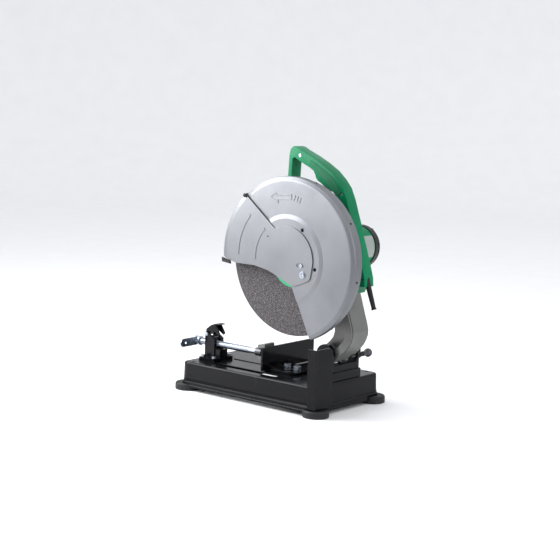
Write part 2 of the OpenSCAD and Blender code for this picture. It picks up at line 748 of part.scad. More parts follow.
module inner_guard() {
    color(guard_silver) difference() {
        about_spindle() polygon([[30, 78], [181, 78], [184.8, 80.5], [186.9, joint_x + 5], [184.9,
            joint_x + 5],
            [183, 82], [180, 80], [30, 80]]);
        along_x(70, 40) open_sector2d(60);
        for (p = guard_bolts_at) bar_x(70, 20, spindle_y + p.x, spindle_z + p.y, 2.5 + fit);
        rim_screw_holes();
    }
}

module guard_screws() {
    color(pan_black) for (a = guard_screw_angles)
        translate([plateau_face - 2, spindle_y + guard_screw_r * cos(a), spindle_z + guard_screw_r * sin(a)])
            rotate([0, 90, 0]) pan_screw(4.4, 1.6, 2.5, 3);
    color(zinc) for (a = rim_screw_angles) translate([joint_x + 2.5, spindle_y, spindle_z]) rotate([a, 0, 0])
        translate([0, guard_r, 0]) rotate([-90, 0, 0]) pan_screw(2.1, 1.2, 0.9, 5);
    color(zinc) for (p = guard_bolts_at) translate([80, spindle_y + p.x, spindle_z + p.y]) rotate([0, 90, 0])
        pan_screw(4.5, 1.6, 2.5, 10);
}

hub_arc_r = 77;
// Ribs of the movable cover, as (radius, first angle, sweep)
cover_ribs = [[144, 139, 41], [92, 134.5, 49.5]];

// Outline of the movable cover: a fan with a round hub and a lug at the rear
module cover2d() {
    hub = [for (a = [-2:7:117]) [hub_arc_r * cos(a), hub_arc_r * sin(a)]];
    translate([spindle_y, spindle_z]) polygon(concat([[29, -57], [53.4, -47], [66, -42], [71, -36]], hub,
        [[-143, 154.5], [-190, 130], [-225, 60], [-225, -14], [-190, -10], [-151, -21.5], [-93, -21.5],
            [-53, -29],
         [-32, -36], [-8, -47], [17, -57]]));
}

module movable_guard() {
    color(guard_silver) {
        difference() {
            intersection() {
                about_spindle() polygon([[0, cover_face], [179, cover_face], [191, cover_face - 3.4],
                    [cover_r, cover_face - 6],
                    [cover_r, 102], [cover_r - 2, 102], [cover_r - 2, cover_face - 6.4], [189.4,
                        cover_face - 5],
                    [178.5, cover_face - 2], [0, cover_face - 2]]);
                along_x(100, 30) cover2d();
            }
            bar_x(110, 20, spindle_y + 49.6, spindle_z - 29.4, 3.2);
            bar_x(110, 20, spindle_y - 54, spindle_z + 49.4, 2);
            along_x(cover_face - 1.4, 4) translate([spindle_y, spindle_z]) slot2d([37, -9], [48, -9], 5);
        }
        for (rib = cover_ribs) about_spindle(from = rib.y, sweep = rib.z)
            translate([rib.x - 2.6, cover_face - e]) square([5.2, 1.1]);
    }
}

cover_knob_at = [-126, 138];

module cover_knob() {
    color(rubber_black) {
        bar_x(cover_face - 2.6, 6, spindle_y + cover_knob_at.x, spindle_z + cover_knob_at.y, 4.8);
    }
}

module cover_lip() {
    color(rubber_black) along_x(cover_face, 4) translate([spindle_y, spindle_z])
        polygon([[-191, -12], [-166, -17], [-164, -25], [-190, -22]]);
}

module cover_screw() {
    color(zinc) {
        translate([cover_face, spindle_y + 49.6, spindle_z - 29.4]) rotate([0, 90, 0]) {
            pan_screw(6.6, 3.2, 3, 1.8);
            difference() {
                cylinder(h = 1, r = 8);
                translate([0, 0, -1]) cylinder(h = 4, r = 6.4);
            }
        }
        bar_x(cover_face - 1.4, 2.6, spindle_y + 45, spindle_z - 9, 4);
    }
}

// ---------- wheel train ----------

module wheel() {
    color(stone_grey) difference() {
        bar_x(wheel_x - wheel_t / 2, wheel_t, spindle_y, spindle_z, wheel_d / 2, $fn = 180);
        bar_x(wheel_x - 5, 10, spindle_y, spindle_z, wheel_bore_r);
    }
}

label_t = 0.4;

module wheel_labels() {
    color(green) for (x = [wheel_x + wheel_t / 2, wheel_x - wheel_t / 2 - label_t]) difference() {
        bar_x(x, label_t, spindle_y, spindle_z, label_r);
        bar_x(x - 1, 3, spindle_y, spindle_z, wheel_bore_r + 2);
    }
}

flange_in = wheel_x - wheel_t / 2 - label_t;
flange_out = wheel_x + wheel_t / 2 + label_t;

module inner_flange() {
    color(zinc) difference() {
        union() {
            bar_x(flange_in - 6.6, 6.6, spindle_y, spindle_z, flange_r);
            bar_x(flange_in, 3, spindle_y, spindle_z, wheel_bore_r - fit);
        }
        bar_x(60, 50, spindle_y, spindle_z, 10);
        bar_ring(flange_in - 1.2, 2, flange_r - 9, wheel_bore_r + 4);
    }
}

// A ring about the spindle
module bar_ring(x, length, outer_r, inner_r) {
    difference() {
        bar_x(x, length, spindle_y, spindle_z, outer_r);
        bar_x(x - 1, length + 2, spindle_y, spindle_z, inner_r);
    }
}

module outer_flange() {
    color(zinc) {
        bar_ring(flange_out, 6, flange_r, 5 + fit);
        bar_ring(flange_out + 6, 1.5, 16, 5 + fit);
    }
}

module wheel_bolt() {
    color(zinc) translate([flange_out + 7.5, spindle_y, spindle_z]) rotate([0, 90, 0])
        hex_bolt(across = 17, head_h = 6.4, shank_r = 5, shank_l = 36, washer_r = 10, washer_t = 2);
}

module spindle() {
    color(zinc) difference() {
        union() {
            bar_x(33, 57.5, spindle_y, spindle_z, 10);
            bar_x(60.3, 3.4, spindle_y, spindle_z, 13);
        }
        bar_x(62, 60, spindle_y, spindle_z, 5);
    }
}

// One spur gear outline with its first tooth on the +X axis
module gear2d(teeth, slack) {
    pitch_r = gear_module * teeth / 2;
    root_r = pitch_r - 1.2 * gear_module;
    half = 90 / teeth;
    circle(r = root_r);
    for (i = [0:teeth - 1]) rotate(360 * i / teeth) polygon([
        [root_r - 0.6, -root_r * sin(half * 1.25)], [pitch_r, -(pitch_r * sin(half) - slack)],
        [pitch_r + 0.86 * gear_module, -(pitch_r * sin(half) * 0.42)], [pitch_r + 0.86 * gear_module,
            pitch_r * sin(half) * 0.42],
        [pitch_r, pitch_r * sin(half) - slack], [root_r - 0.6, root_r * sin(half * 1.25)]]);
}

module drive_gear() {
    color(dark_steel) translate([48, spindle_y, spindle_z]) rotate([90, 0, 90]) rotate(gear_angle)
        linear_extrude(12)
        difference() {
            gear2d(gear_teeth, 0.25);
            circle(r = 10);
        }
}

// ---------- motor ----------

module armature_shaft() {
    color(zinc) {
        bar_x(-101, 148, motor_y, motor_z, 5);
        translate([47, motor_y, motor_z]) rotate([90, 0, 90]) rotate(gear_angle + 180 + 180 / pinion_teeth)
            linear_extrude(14) gear2d(pinion_teeth, 0.3);
    }
}

module armature_core() {
    color(dark_steel) difference() {
        bar_x(-40, 50, motor_y, motor_z, 24);
        bar_x(-41, 52, motor_y, motor_z, 5);
        for (a = [0:30:330]) translate([-41, motor_y, motor_z]) rotate([a, 0, 0]) translate([0, -1, 18])
            cube([52, 2, 10]);
    }
}

module commutator() {
    color("#b87333") difference() {
        bar_x(-68, 18, motor_y, motor_z, 14);
        bar_x(-69, 20, motor_y, motor_z, 5);
        for (a = [0:30:330]) translate([-69, motor_y, motor_z]) rotate([a, 0, 0]) translate([0, -0.4,
            12.6]) cube([16, 0.8, 3]);
    }
}

module fan() {
    color(rubber_black) difference() {
        union() {
            bar_x(13, 2, motor_y, motor_z, 40);
            bar_x(13, 10, motor_y, motor_z, 9);
            for (a = [0:36:324]) translate([15 - e, motor_y, motor_z]) rotate([a, 0, 0]) translate([0, -1,
                15]) cube([7, 2, 23]);
        }
        bar_x(10, 20, motor_y, motor_z, 5);
    }
}

module stator() {
    color(dark_steel) difference() {
        bar_x(-42, 54, motor_y, motor_z, 43.7);
        bar_x(-43, 56, motor_y, motor_z, 25);
        for (a = [0, 180]) translate([-43, motor_y, motor_z]) rotate([a, 0, 0]) translate([0, -14, 24])
            cube([56, 28, 12]);
    }
}

brush_x = -59;

module motor_housing() {
    color(green) difference() {
        union() {
            bar_x(motor_rear, motor_front - motor_rear, motor_y, motor_z, motor_r);
            bar_x(14, motor_front - 14, motor_y, motor_z, motor_r + 1.5);
        }
        bar_x(motor_rear - 1, motor_front - motor_rear + 2, motor_y, motor_z, 44);
        for (s = [-1, 1]) translate([brush_x, motor_y, motor_z]) rotate([s > 0 ? 0 : 180, 0, 0])
            cylinder(h = 60, r = 7);
        for (a = [100:20:260]) translate([4, motor_y, motor_z]) rotate([a, 0, 0]) translate([0, -2, 40])
            cube([8, 4, 14]);
        for (a = tail_screw_angles)
            bar_x(motor_rear - 1, 9, motor_y + tail_screw_r * cos(a), motor_z + tail_screw_r * sin(a),
                1.8 + fit);
    }
}

module carbon_brushes() {
    color(rubber_black) for (a = [0, 180]) translate([brush_x, motor_y, motor_z]) rotate([a, 0, 0]) {
        translate([-3, -5, 14 + gap]) cube([6, 10, 14]);
        difference() {
            translate([0, 0, 20]) cylinder(h = 24, r = 6.9);
            translate([-3, -5, 10]) cube([6, 10, 30]);
        }
    }
}

module brush_caps() {
    color(rubber_black) for (a = [0, 180]) translate([brush_x, motor_y, motor_z]) rotate([a, 0, 0])
        difference() {
        translate([0, 0, 44]) cylinder(h = 7, r = 6.9);
        translate([-5, -0.8, 50]) cube([10, 1.6, 3]);
    }
}

vent_count = 18;
tail_screw_r = 46.2;
tail_screw_angles = [60, 240];

module tail_cover() {
    color(rubber_black) difference() {
        about_motor() polygon([[0, tail_end], [42, tail_end], [49, tail_end + 3], [51, tail_end + 8], [51,
            motor_rear - 1],
            [50, motor_rear], [47, motor_rear], [47, tail_end + 9], [44, tail_end + 4], [14, tail_end + 4],
            [14, -95], [11, -95], [11, -102], [0, -102]]);
        for (i = [0:vent_count - 1]) translate([tail_end - 1, motor_y, motor_z])
            rotate([360 * i / vent_count, 0, 0])
            translate([0, -2.2, 20]) cube([8, 4.4, 18]);
        for (i = [0:vent_count - 1]) translate([tail_end + 6, motor_y, motor_z])
            rotate([360 * i / vent_count, 0, 0])
            translate([0, -2, 44]) cube([6, 4, 10]);
        for (a = tail_screw_angles) {
            bar_x(tail_end - 1, 26, motor_y + tail_screw_r * cos(a), motor_z + tail_screw_r * sin(a),
                1.8 + fit);
            bar_x(tail_end - 1, 3, motor_y + tail_screw_r * cos(a), motor_z + tail_screw_r * sin(a),
                3.4 + fit);
        }
    }
}

module tail_screws() {
    color(zinc) for (a = tail_screw_angles)
        translate([tail_end + 2, motor_y + tail_screw_r * cos(a), motor_z + tail_screw_r * sin(a)])
            rotate([0, -90, 0]) pan_screw(3.4, 2, 1.8, 26);
}

module label_plate() {
    color(zinc) about_motor(from = -25, sweep = 62) translate([motor_r, -82]) square([0.6, 40]);
}

// ---------- handle ----------

// Outside of the handle, from its front foot over the grip and down to the cord boss
handle_outside = [[26, 436], [24, 470], [27, 533], [29.5, 581], [33, 596], [41, 602.5], [50, 601], [63,
    594.5],
    [93, 582], [123, 567.5], [152.5, 550], [173.5, 531.5], [188.5, 514], [201, 487.5], [211, 458.5], [221,
        431],
    [231, 398], [240.5, 371], [250, 342], [258.5, 314], [260, 295], [247, 295], [243, 291], [236, 278],
    [222, 276], [212, 286], [208, 302]];
handle_inside = [[37.5, 470], [38, 533], [40, 574], [45, 577], [60, 569], [91, 555.5], [102, 549], [107, 541],
    [110.5, 532], [116, 526.5], [150, 508.5], [160, 504], [167, 497], [172, 489], [178, 462], [176, 452],
    [168, 446], [50, 452], [40, 458]];

module handle2d() {
    difference() {
        union() {
            polygon(concat(handle_outside, [[205, 330], [150, 372], [72, 408], [44, 424]]));
        }
        polygon(handle_inside);
        translate([motor_y, motor_z]) circle(r = motor_r + 2);
        translate([spindle_y, spindle_z]) circle(r = case_r + gap);
        polygon([[60, 330], [205, 330], [205, 372], [150, 400], [60, 400]]);
    }
}

trigger_pivot = [158, 513];

module trigger2d(grow = 0) {
    polygon([[117 - grow, 527 - grow], [121 - grow, 520 - grow], [135, 510.5 - grow], [150, 504 - grow],
        [160 + grow, 503 - grow],
             [166 + grow, 508], [166 + grow, 517 + grow], [158, 521 + grow], [140, 531 + grow],
                 [121 - grow, 536 + grow]]);
}

handle_screws_at = [[36, 500], [60, 582], [185, 500], [222, 400], [249, 312]];

button_at = [154, 531];

module handle_half(x) {
    bar_x(max(x, handle_x - 10.5) - e, 10.5, trigger_pivot.x, trigger_pivot.y, 1.95);
    difference() {
        along_x(x, handle_w / 2) handle2d();
        along_x(handle_x - 10.5, 21) translate([0, 2]) trigger2d(3);
        translate([handle_x - 12, 126, 528]) cube([24, 24, 18]);
        bar_x(handle_x - handle_w / 2 - 1, 14, button_at.x, button_at.y, 5.3);
        for (p = handle_screws_at) bar_x(handle_x - 30, 60, p.x, p.y, 2);
        for (p = handle_screws_at) bar_x(handle_x + handle_w / 2 - 3, 10, p.x, p.y, 4);
        translate(guard_at) rotate([180 + guard_tilt, 0, 0]) translate([0, 0, -12]) cylinder(h = 40, r = 6.6);
    }
}

module handle_left() { color(green) handle_half(handle_x - handle_w / 2); }
module handle_right() { color(green) handle_half(handle_x); }

module handle_screws() {
    color(zinc) for (p = handle_screws_at) translate([handle_x + handle_w / 2 - 3, p.x, p.y]) rotate([0,
        90, 0])
        pan_screw(3.8, 2, 1.9, 24);
}

module switch_box() {
    color(rubber_black) translate([handle_x - 11, 127, 539]) cube([22, 22, 6.5]);
}

module trigger() {
    color(rubber_black) difference() {
        along_x(handle_x - 9.5, 19) trigger2d();
        bar_x(handle_x - 12, 24, trigger_pivot.x, trigger_pivot.y, 1.95 + fit);
    }
}

module lock_button() {
    color(rubber_black) bar_x(handle_x - handle_w / 2 - 4, 10, button_at.x, button_at.y, 5);
}

guard_tilt = 19.5;
guard_len = 60;
guard_at = [handle_x + 1, 257, 301];

module cord_guard() {
    color(rubber_black) translate(guard_at) rotate([180 + guard_tilt, 0, 0]) rotate_extrude()
        polygon([[3.7, -10], [6.5, -10], [6.5, 4], [6.2, 6], [5.1, guard_len - 3], [6.2, guard_len - 3],
            [6.2, guard_len],
                 [3.7, guard_len]]);
}

// ---------- the nodes ----------

base_pan();
feet();
foot_screws();
hinge_bracket();
bracket_bolts();
spark_guard();
spark_guard_screws();
hinge_shaft();
return_spring();
screw_bracket();
screw_bracket_bolts();
jaw_bolts();
lever_pin();
fixed_jaw();
thrust_block();
movable_jaw();
jaw_pin();
lead_screw();
crank();
release_lever();
half_nut();
lock_pin();
arm();
gear_cover();
gear_cover_screws();
spindle_bearings();
armature_bearings();
inner_guard();
outer_guard();
guard_screws();
handle_left();
handle_right();
handle_screws();
switch_box();
motor_housing();
tail_cover();
tail_screws();
stator();
carbon_brushes();
brush_caps();
label_plate();
cord_guard();
spindle();
drive_gear();
inner_flange();
outer_flange();
wheel();
wheel_labels();
wheel_bolt();
armature_shaft();
armature_core();
commutator();
fan();
movable_guard();
cover_knob();
cover_lip();
cover_screw();
trigger();
lock_button();
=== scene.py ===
"""Looks of a bench chop saw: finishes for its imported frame, and the pieces that mesh work shapes better."""

import json
import logging
import math
from dataclasses import dataclass
from enum import Enum
from typing import ClassVar

import bmesh
import bpy
from mathutils import Matrix, Vector

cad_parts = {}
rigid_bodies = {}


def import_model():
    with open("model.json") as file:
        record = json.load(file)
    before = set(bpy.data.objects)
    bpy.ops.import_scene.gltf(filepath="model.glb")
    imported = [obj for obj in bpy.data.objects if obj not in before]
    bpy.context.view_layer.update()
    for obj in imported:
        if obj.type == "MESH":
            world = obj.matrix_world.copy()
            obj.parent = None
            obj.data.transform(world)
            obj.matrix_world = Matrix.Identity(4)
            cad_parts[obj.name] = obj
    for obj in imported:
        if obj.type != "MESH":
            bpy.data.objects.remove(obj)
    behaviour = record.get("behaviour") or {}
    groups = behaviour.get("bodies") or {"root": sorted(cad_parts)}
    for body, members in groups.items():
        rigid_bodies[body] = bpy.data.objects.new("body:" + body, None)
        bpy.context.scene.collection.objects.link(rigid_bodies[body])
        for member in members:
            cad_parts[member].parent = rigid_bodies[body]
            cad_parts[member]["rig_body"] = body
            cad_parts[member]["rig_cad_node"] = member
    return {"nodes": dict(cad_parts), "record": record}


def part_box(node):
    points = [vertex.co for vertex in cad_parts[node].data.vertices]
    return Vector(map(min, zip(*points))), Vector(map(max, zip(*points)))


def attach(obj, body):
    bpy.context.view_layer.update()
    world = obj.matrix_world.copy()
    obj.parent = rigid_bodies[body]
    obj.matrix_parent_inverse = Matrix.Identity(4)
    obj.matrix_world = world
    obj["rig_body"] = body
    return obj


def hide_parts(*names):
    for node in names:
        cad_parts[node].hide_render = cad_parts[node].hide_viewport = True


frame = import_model()

log = logging.getLogger("chop_saw")

Colour = tuple[float, float, float]  # red, green and blue, linear
Triple = tuple[float, float, float]  # x, y and z
Pair = tuple[float, float]  # two settings that go together
Span = tuple[float, float]  # from one value to another
Materials = dict[str, bpy.types.Material]  # the material of each slot
Socket = bpy.types.NodeSocket
Tree = bpy.types.NodeTree

MM = 0.001
QUARTER_TURN = math.pi / 2
FULL_TURN = 2 * math.pi
NO_OR_ALL = (0.0, 1.0)
ON_FACE = 0.02 * MM  # a point this near a plane lies in it
FACING = 0.9  # the least cosine at which a face faces a way
SAME_POINT = 0.005 * MM  # points this near each other are one
FLAT = math.radians(0.5)  # faces that turn less than this are one


class Grain(Enum):
    """What the fine surface of a finish is like."""

    PEEL = "sprayed enamel, with a faint orange peel"
    BRUSHED = "drawn or turned metal, with fine lines"
    CAST = "painted sand casting"
    MOULDED = "spark-textured moulding"
    GRIT = "bonded abrasive grains"
    CARD = "printed card"


class Maths(Enum):
    """How a maths node joins its two values."""

    SUM = "ADD"
    PRODUCT = "MULTIPLY"
    GREATER = "MAXIMUM"


class Pick(Enum):
    """What is selected in edit mode."""

    POINTS = "VERT"
    EDGES = "EDGE"
    FACES = "FACE"


@dataclass(frozen=True)
class Finish:
    """One surface finish, made into a node material.

    Attributes:
        name: The material's name.
        colour: Its main colour, linear.
        drift: The colour that broad patches drift towards.
        wear_and_highlight_colour: The lighter colour along the edges, part wearing and part painted
            highlight.
        metallic: How metallic it is, 0 to 1.
        rough: Its lowest and highest roughness.
        grain: What its fine surface is like.
        pitch: Grains per metre.
        relief: How deep the grain looks, 0 to 1.
        coat: How much clear coat lies over it.
        gloss: How strongly it reflects at right angles, 0 to 1.
        edge_wear_and_highlight: How strongly the edges show wearing and the painted highlight, 0 to 1.
        edge: Radius that edges are eased to, in metres.
        coat_rough: How rough the clear coat is.
        bump_depth: Depth of the grain at full relief, in metres.
        sheen_patches: Scale and detail of the patches that change its sheen.
        sheen_grain: Scale, as a share of the pitch, and detail of the sheen's fine part.
        sheen_shares: How much the patches and the fine part each count.
        sheen_span: The noise between which the roughness runs from low to high.
        edge_dulling: How much rougher a fully worn edge is.
        edge_samples: How many directions the easing looks in.
        edge_span: Cosines between the eased and the true normal, from none to the full edge wearing and
            painted highlight.
        drift_patches: Scale and detail of the patches that change its colour.
        drift_span: The noise between which the colour runs from main to drift.
        speck_span: The grain's height between which specks show.
        speck_strength: How strong the specks get.
        brush_stretch: How much the lines of brushed metal are drawn out along X.
        cast_swells: Scale, as a share of the pitch, of a casting's swells.
        cast_pits: How much its pits count beside the swells.
        moulded_swells: Scale, as a share of the pitch, of a moulding's swells.
        grit_fines: Scale, as a share of the pitch, of the fines between grains.
    """

    name: str
    colour: Colour
    drift: Colour
    wear_and_highlight_colour: Colour
    metallic: float
    rough: Span
    grain: Grain
    pitch: float
    relief: float
    coat: float = 0.0
    gloss: float = 0.5
    edge_wear_and_highlight: float = 0.3
    edge: float = 0.7 * MM
    coat_rough: ClassVar[float] = 0.06
    bump_depth: ClassVar[float] = 0.35 * MM
    sheen_patches: ClassVar[Pair] = (18.0, 5.0)
    sheen_grain: ClassVar[Pair] = (0.35, 3.0)
    sheen_shares: ClassVar[Pair] = (0.65, 0.35)
    sheen_span: ClassVar[Span] = (0.3, 0.7)
    edge_dulling: ClassVar[float] = 0.12
    edge_samples: ClassVar[int] = 4
    edge_span: ClassVar[Span] = (0.97, 0.75)
    drift_patches: ClassVar[Pair] = (9.0, 4.0)
    drift_span: ClassVar[Span] = (0.35, 0.7)
    speck_span: ClassVar[Span] = (0.2, 0.9)
    speck_strength: ClassVar[float] = 0.16
    brush_stretch: ClassVar[Triple] = (0.06, 1.0, 1.0)
    cast_swells: ClassVar[float] = 0.3
    cast_pits: ClassVar[float] = 0.6
    moulded_swells: ClassVar[float] = 0.5
    grit_fines: ClassVar[float] = 2.0

    def build(self) -> bpy.types.Material:
        """Makes the node material.

        Returns:
            The finished material.
        """
        material = bpy.data.materials.new(self.name)
        material.use_nodes = True
        tree = material.node_tree
        shader = tree.nodes["Principled BSDF"]
        place = self.place(tree)
        grain = self.grain_height(tree, place)
        edges, eased = self.edge_mask(tree)
        colour = self.paint(tree, place, grain, edges)
        tree.links.new(colour, shader.inputs["Base Color"])
        tree.links.new(self.roughness(tree, place, edges), shader.inputs["Roughness"])
        shader.inputs["Metallic"].default_value = self.metallic
        shader.inputs["Specular IOR Level"].default_value = self.gloss
        shader.inputs["Coat Weight"].default_value = self.coat
        shader.inputs["Coat Roughness"].default_value = self.coat_rough
        bump = tree.nodes.new("ShaderNodeBump")
        bump.inputs["Strength"].default_value = self.relief
        bump.inputs["Distance"].default_value = self.bump_depth
        tree.links.new(grain, bump.inputs["Height"])
        tree.links.new(eased, bump.inputs["Normal"])
        tree.links.new(bump.outputs["Normal"], shader.inputs["Normal"])
        return material

    def place(self, tree: Tree) -> Socket:
        """Gives the coordinates that the pattern reads."""
        return tree.nodes.new("ShaderNodeTexCoord").outputs["Object"]

    def roughness(self, tree: Tree, place: Socket, edges: Socket) -> Socket:
        """Varies the roughness in patches and with the grain, and raises it along worn edges.

        Args:
            tree: The material's node tree.
            place: The coordinates to read.
            edges: How worn the edges are.

        Returns:
            The socket with the roughness.
        """
        fine_scale, fine_detail = self.sheen_grain
        patch_share, fine_share = self.sheen_shares
        patches = add_noise(tree, place, *self.sheen_patches)
        fine = add_noise(tree, place, self.pitch * fine_scale, fine_detail)
        patches = add_math(tree, Maths.PRODUCT, patches, patch_share)
        mixed = add_math(tree, Maths.SUM, patches, add_math(tree, Maths.PRODUCT, fine, fine_share))
        rough = add_range(tree, mixed, self.sheen_span, self.rough)
        return add_math(tree, Maths.SUM, rough, add_math(tree, Maths.PRODUCT, edges, self.edge_dulling))

    def grain_height(self, tree: Tree, place: Socket) -> Socket:
        """Builds the height of the fine grain.

        Args:
            tree: The material's node tree.
            place: The coordinates to read.

        Returns:
            The socket with the height.
        """
        if self.grain is Grain.BRUSHED:
            drawn_out = add_mapping(tree, place, scale=self.brush_stretch)
            return add_noise(tree, drawn_out, self.pitch, detail=3.0)
        if self.grain in (Grain.PEEL, Grain.CARD):
            return add_noise(tree, place, self.pitch, detail=2.0)
        cells = add_cells(tree, place, self.pitch)
        if self.grain is Grain.CAST:
            swells = add_noise(tree, place, self.pitch * self.cast_swells, detail=4.0)
            return add_math(tree, Maths.SUM, swells, add_math(tree, Maths.PRODUCT, cells, self.cast_pits))
        if self.grain is Grain.MOULDED:
            swells = add_noise(tree, place, self.pitch * self.moulded_swells, detail=2.0)
            return add_math(tree, Maths.SUM, cells, swells)
        fines = add_noise(tree, place, self.pitch * self.grit_fines, detail=4.0)
        return add_math(tree, Maths.SUM, cells, fines)

    def edge_mask(self, tree: Tree) -> tuple[Socket, Socket]:
        """Finds edges by easing the normal across them.

        Args:
            tree: The material's node tree.

        Returns:
            The socket with the wearing and painted highlight along edges, and the one with the eased normal.
        """
        bevel = tree.nodes.new("ShaderNodeBevel")
        bevel.samples = self.edge_samples
        bevel.inputs["Radius"].default_value = self.edge
        geometry = tree.nodes.new("ShaderNodeNewGeometry")
        dot = tree.nodes.new("ShaderNodeVectorMath")
        dot.operation = "DOT_PRODUCT"
        tree.links.new(bevel.outputs["Normal"], dot.inputs[0])
        tree.links.new(geometry.outputs["Normal"], dot.inputs[1])
        # This edge mask paints the edges lighter, part wearing and part painted highlight, and roughens them.
        mask = add_range(tree, dot.outputs["Value"], self.edge_span, NO_OR_ALL)
        return add_math(tree, Maths.PRODUCT, mask, self.edge_wear_and_highlight), bevel.outputs["Normal"]

    def paint(self, tree: Tree, place: Socket, grain: Socket, edges: Socket) -> Socket:
        """Mixes the colour: broad patches, the grain's shade and the edges' lighter colour, part wearing and
        part painted highlight.

        Args:
            tree: The material's node tree.
            place: The coordinates to read.
            grain: The grain's height.
            edges: How strongly the edges show wearing and painted highlight.

        Returns:
            The socket with the colour.
        """
        patches = add_range(tree, add_noise(tree, place, *self.drift_patches), self.drift_span, NO_OR_ALL)
        colour = add_mix(tree, patches, self.colour, self.drift)
        specks = add_range(tree, grain, self.speck_span, (0.0, self.speck_strength))
        colour = add_mix(tree, specks, colour, self.drift)
        # Lighter colour along the edges: part wearing, part painted highlight.
        return add_mix(tree, edges, colour, self.wear_and_highlight_colour)


@dataclass(frozen=True)
class AbrasiveFinish(Finish):
    """Bonded grit with light and dark grains, and the weave of its glass net showing through.

    Attributes:
        light_grain: Colour of the light grains.
        dark_grain: Colour of the dark grains.
        dark_span: The noise between which dark grains go from none to full.
        light_span: The noise between which light grains go from none to full.
        grain_spread: Scale of that noise, as a share of the pitch.
        dark_strength: How strong full dark grains are.
        light_strength: How strong full light grains are.
        net_pitch: Scale of the wave that makes the strands.
        net_wobble: How unevenly the strands run.
        net_span: The wave's height between which a strand goes from hidden to full.
        net_strength: How strong a full strand is.
    """

    light_grain: Colour = (0.24, 0.225, 0.235)
    dark_grain: Colour = (0.018, 0.016, 0.018)
    dark_span: Span = (0.50, 0.36)
    light_span: Span = (0.57, 0.72)
    grain_spread: float = 1.2
    dark_strength: float = 0.9
    light_strength: float = 0.8
    net_pitch: float = 190.0
    net_wobble: float = 0.8
    net_span: Span = (0.8, 1.0)
    net_strength: float = 0.22

    def paint(self, tree: Tree, place: Socket, grain: Socket, edges: Socket) -> Socket:
        """Mixes the grains' colours and the net's faint lines.

        Args:
            tree: The material's node tree.
            place: The coordinates to read.
            grain: The grain's height; not used here.
            edges: How strongly the edges show wearing and painted highlight.

        Returns:
            The socket with the colour.
        """
        shades = add_noise(tree, place, self.pitch * self.grain_spread, detail=2.0)
        dark = add_range(tree, shades, self.dark_span, (0.0, self.dark_strength))
        light = add_range(tree, shades, self.light_span, (0.0, self.light_strength))
        colour = add_mix(tree, dark, self.colour, self.dark_grain)
        colour = add_mix(tree, light, colour, self.light_grain)
        net = add_math(tree, Maths.GREATER, self.strands(tree, place, "Y"), self.strands(tree, place, "Z"))
        faint = add_range(tree, net, self.net_span, (0.0, self.net_strength))
        colour = add_mix(tree, faint, colour, self.drift)
        # Lighter colour along the edges: part wearing, part painted highlight.
        return add_mix(tree, edges, colour, self.wear_and_highlight_colour)

    def strands(self, tree: Tree, place: Socket, axis: str) -> Socket:
        """Adds the net's strands that lie one way.

        Args:
            tree: The material's node tree.
            place: The coordinates to read.
            axis: The axis that they are spaced along.

        Returns:
            The socket with the strands.
        """
        wave = tree.nodes.new("ShaderNodeTexWave")
        wave.bands_direction = axis
        wave.inputs["Scale"].default_value = self.net_pitch
        wave.inputs["Distortion"].default_value = self.net_wobble
        tree.links.new(place, wave.inputs["Vector"])
        return wave.outputs["Fac"]


@dataclass(frozen=True)
class CardFinish(Finish):
    """Printed card disc with plain rings about its centre.

    Attributes:
        centre: The disc's centre.
        ring: The rings' colour.
        rings: Inner and outer radius of each ring.
        ring_fade: How far a ring's edge takes to fade.
    """

    centre: Triple = (0.0, 0.0, 0.0)
    ring: Colour = (0.75, 0.80, 0.76)
    rings: tuple[Pair, ...] = ((30.0 * MM, 33.0 * MM), (49.5 * MM, 50.5 * MM))
    ring_fade: float = 0.3 * MM

    def paint(self, tree: Tree, place: Socket, grain: Socket, edges: Socket) -> Socket:
        """Mixes the card's colour with its printed rings.

        Args:
            tree: The material's node tree.
            place: The coordinates to read.
            grain: The grain's height.
            edges: How strongly the edges show wearing and painted highlight.

        Returns:
            The socket with the colour.
        """
        _, y, z = self.centre
        moved = add_mapping(tree, place, offset=(0.0, -y, -z), scale=(0.0, 1.0, 1.0))
        length = tree.nodes.new("ShaderNodeVectorMath")
        length.operation = "LENGTH"
        tree.links.new(moved, length.inputs[0])
        colour = Finish.paint(self, tree, place, grain, edges)
        radius = length.outputs["Value"]
        for inner, outer in self.rings:
            past = add_range(tree, radius, (inner, inner + self.ring_fade), NO_OR_ALL)
            short = add_range(tree, radius, (outer, outer + self.ring_fade), (1.0, 0.0))
            colour = add_mix(tree, add_math(tree, Maths.PRODUCT, past, short), colour, self.ring)
        return colour


def add_math(tree: Tree, how: Maths, first: Socket | float, second: Socket | float) -> Socket:
    """Adds a maths node.

    Args:
        tree: The node tree.
        how: How it joins the two values.
        first: A socket or a number.
        second: A socket or a number.

    Returns:
        The result's socket.
    """
    node = tree.nodes.new("ShaderNodeMath")
    node.operation = how.value
    for value, socket in ((first, node.inputs[0]), (second, node.inputs[1])):
        if isinstance(value, float):
            socket.default_value = value
        else:
            tree.links.new(value, socket)
    return node.outputs["Value"]


def add_range(tree: Tree, value: Socket, source: Span, target: Span) -> Socket:
    """Maps a value from one range to another, held at its ends.

    Args:
        tree: The node tree.
        value: The socket to map.
        source: The range it has.
        target: The range it gets.

    Returns:
        The result's socket.
    """
    node = tree.nodes.new("ShaderNodeMapRange")
    node.inputs["From Min"].default_value, node.inputs["From Max"].default_value = source
    node.inputs["To Min"].default_value, node.inputs["To Max"].default_value = target
    tree.links.new(value, node.inputs["Value"])
    return node.outputs["Result"]


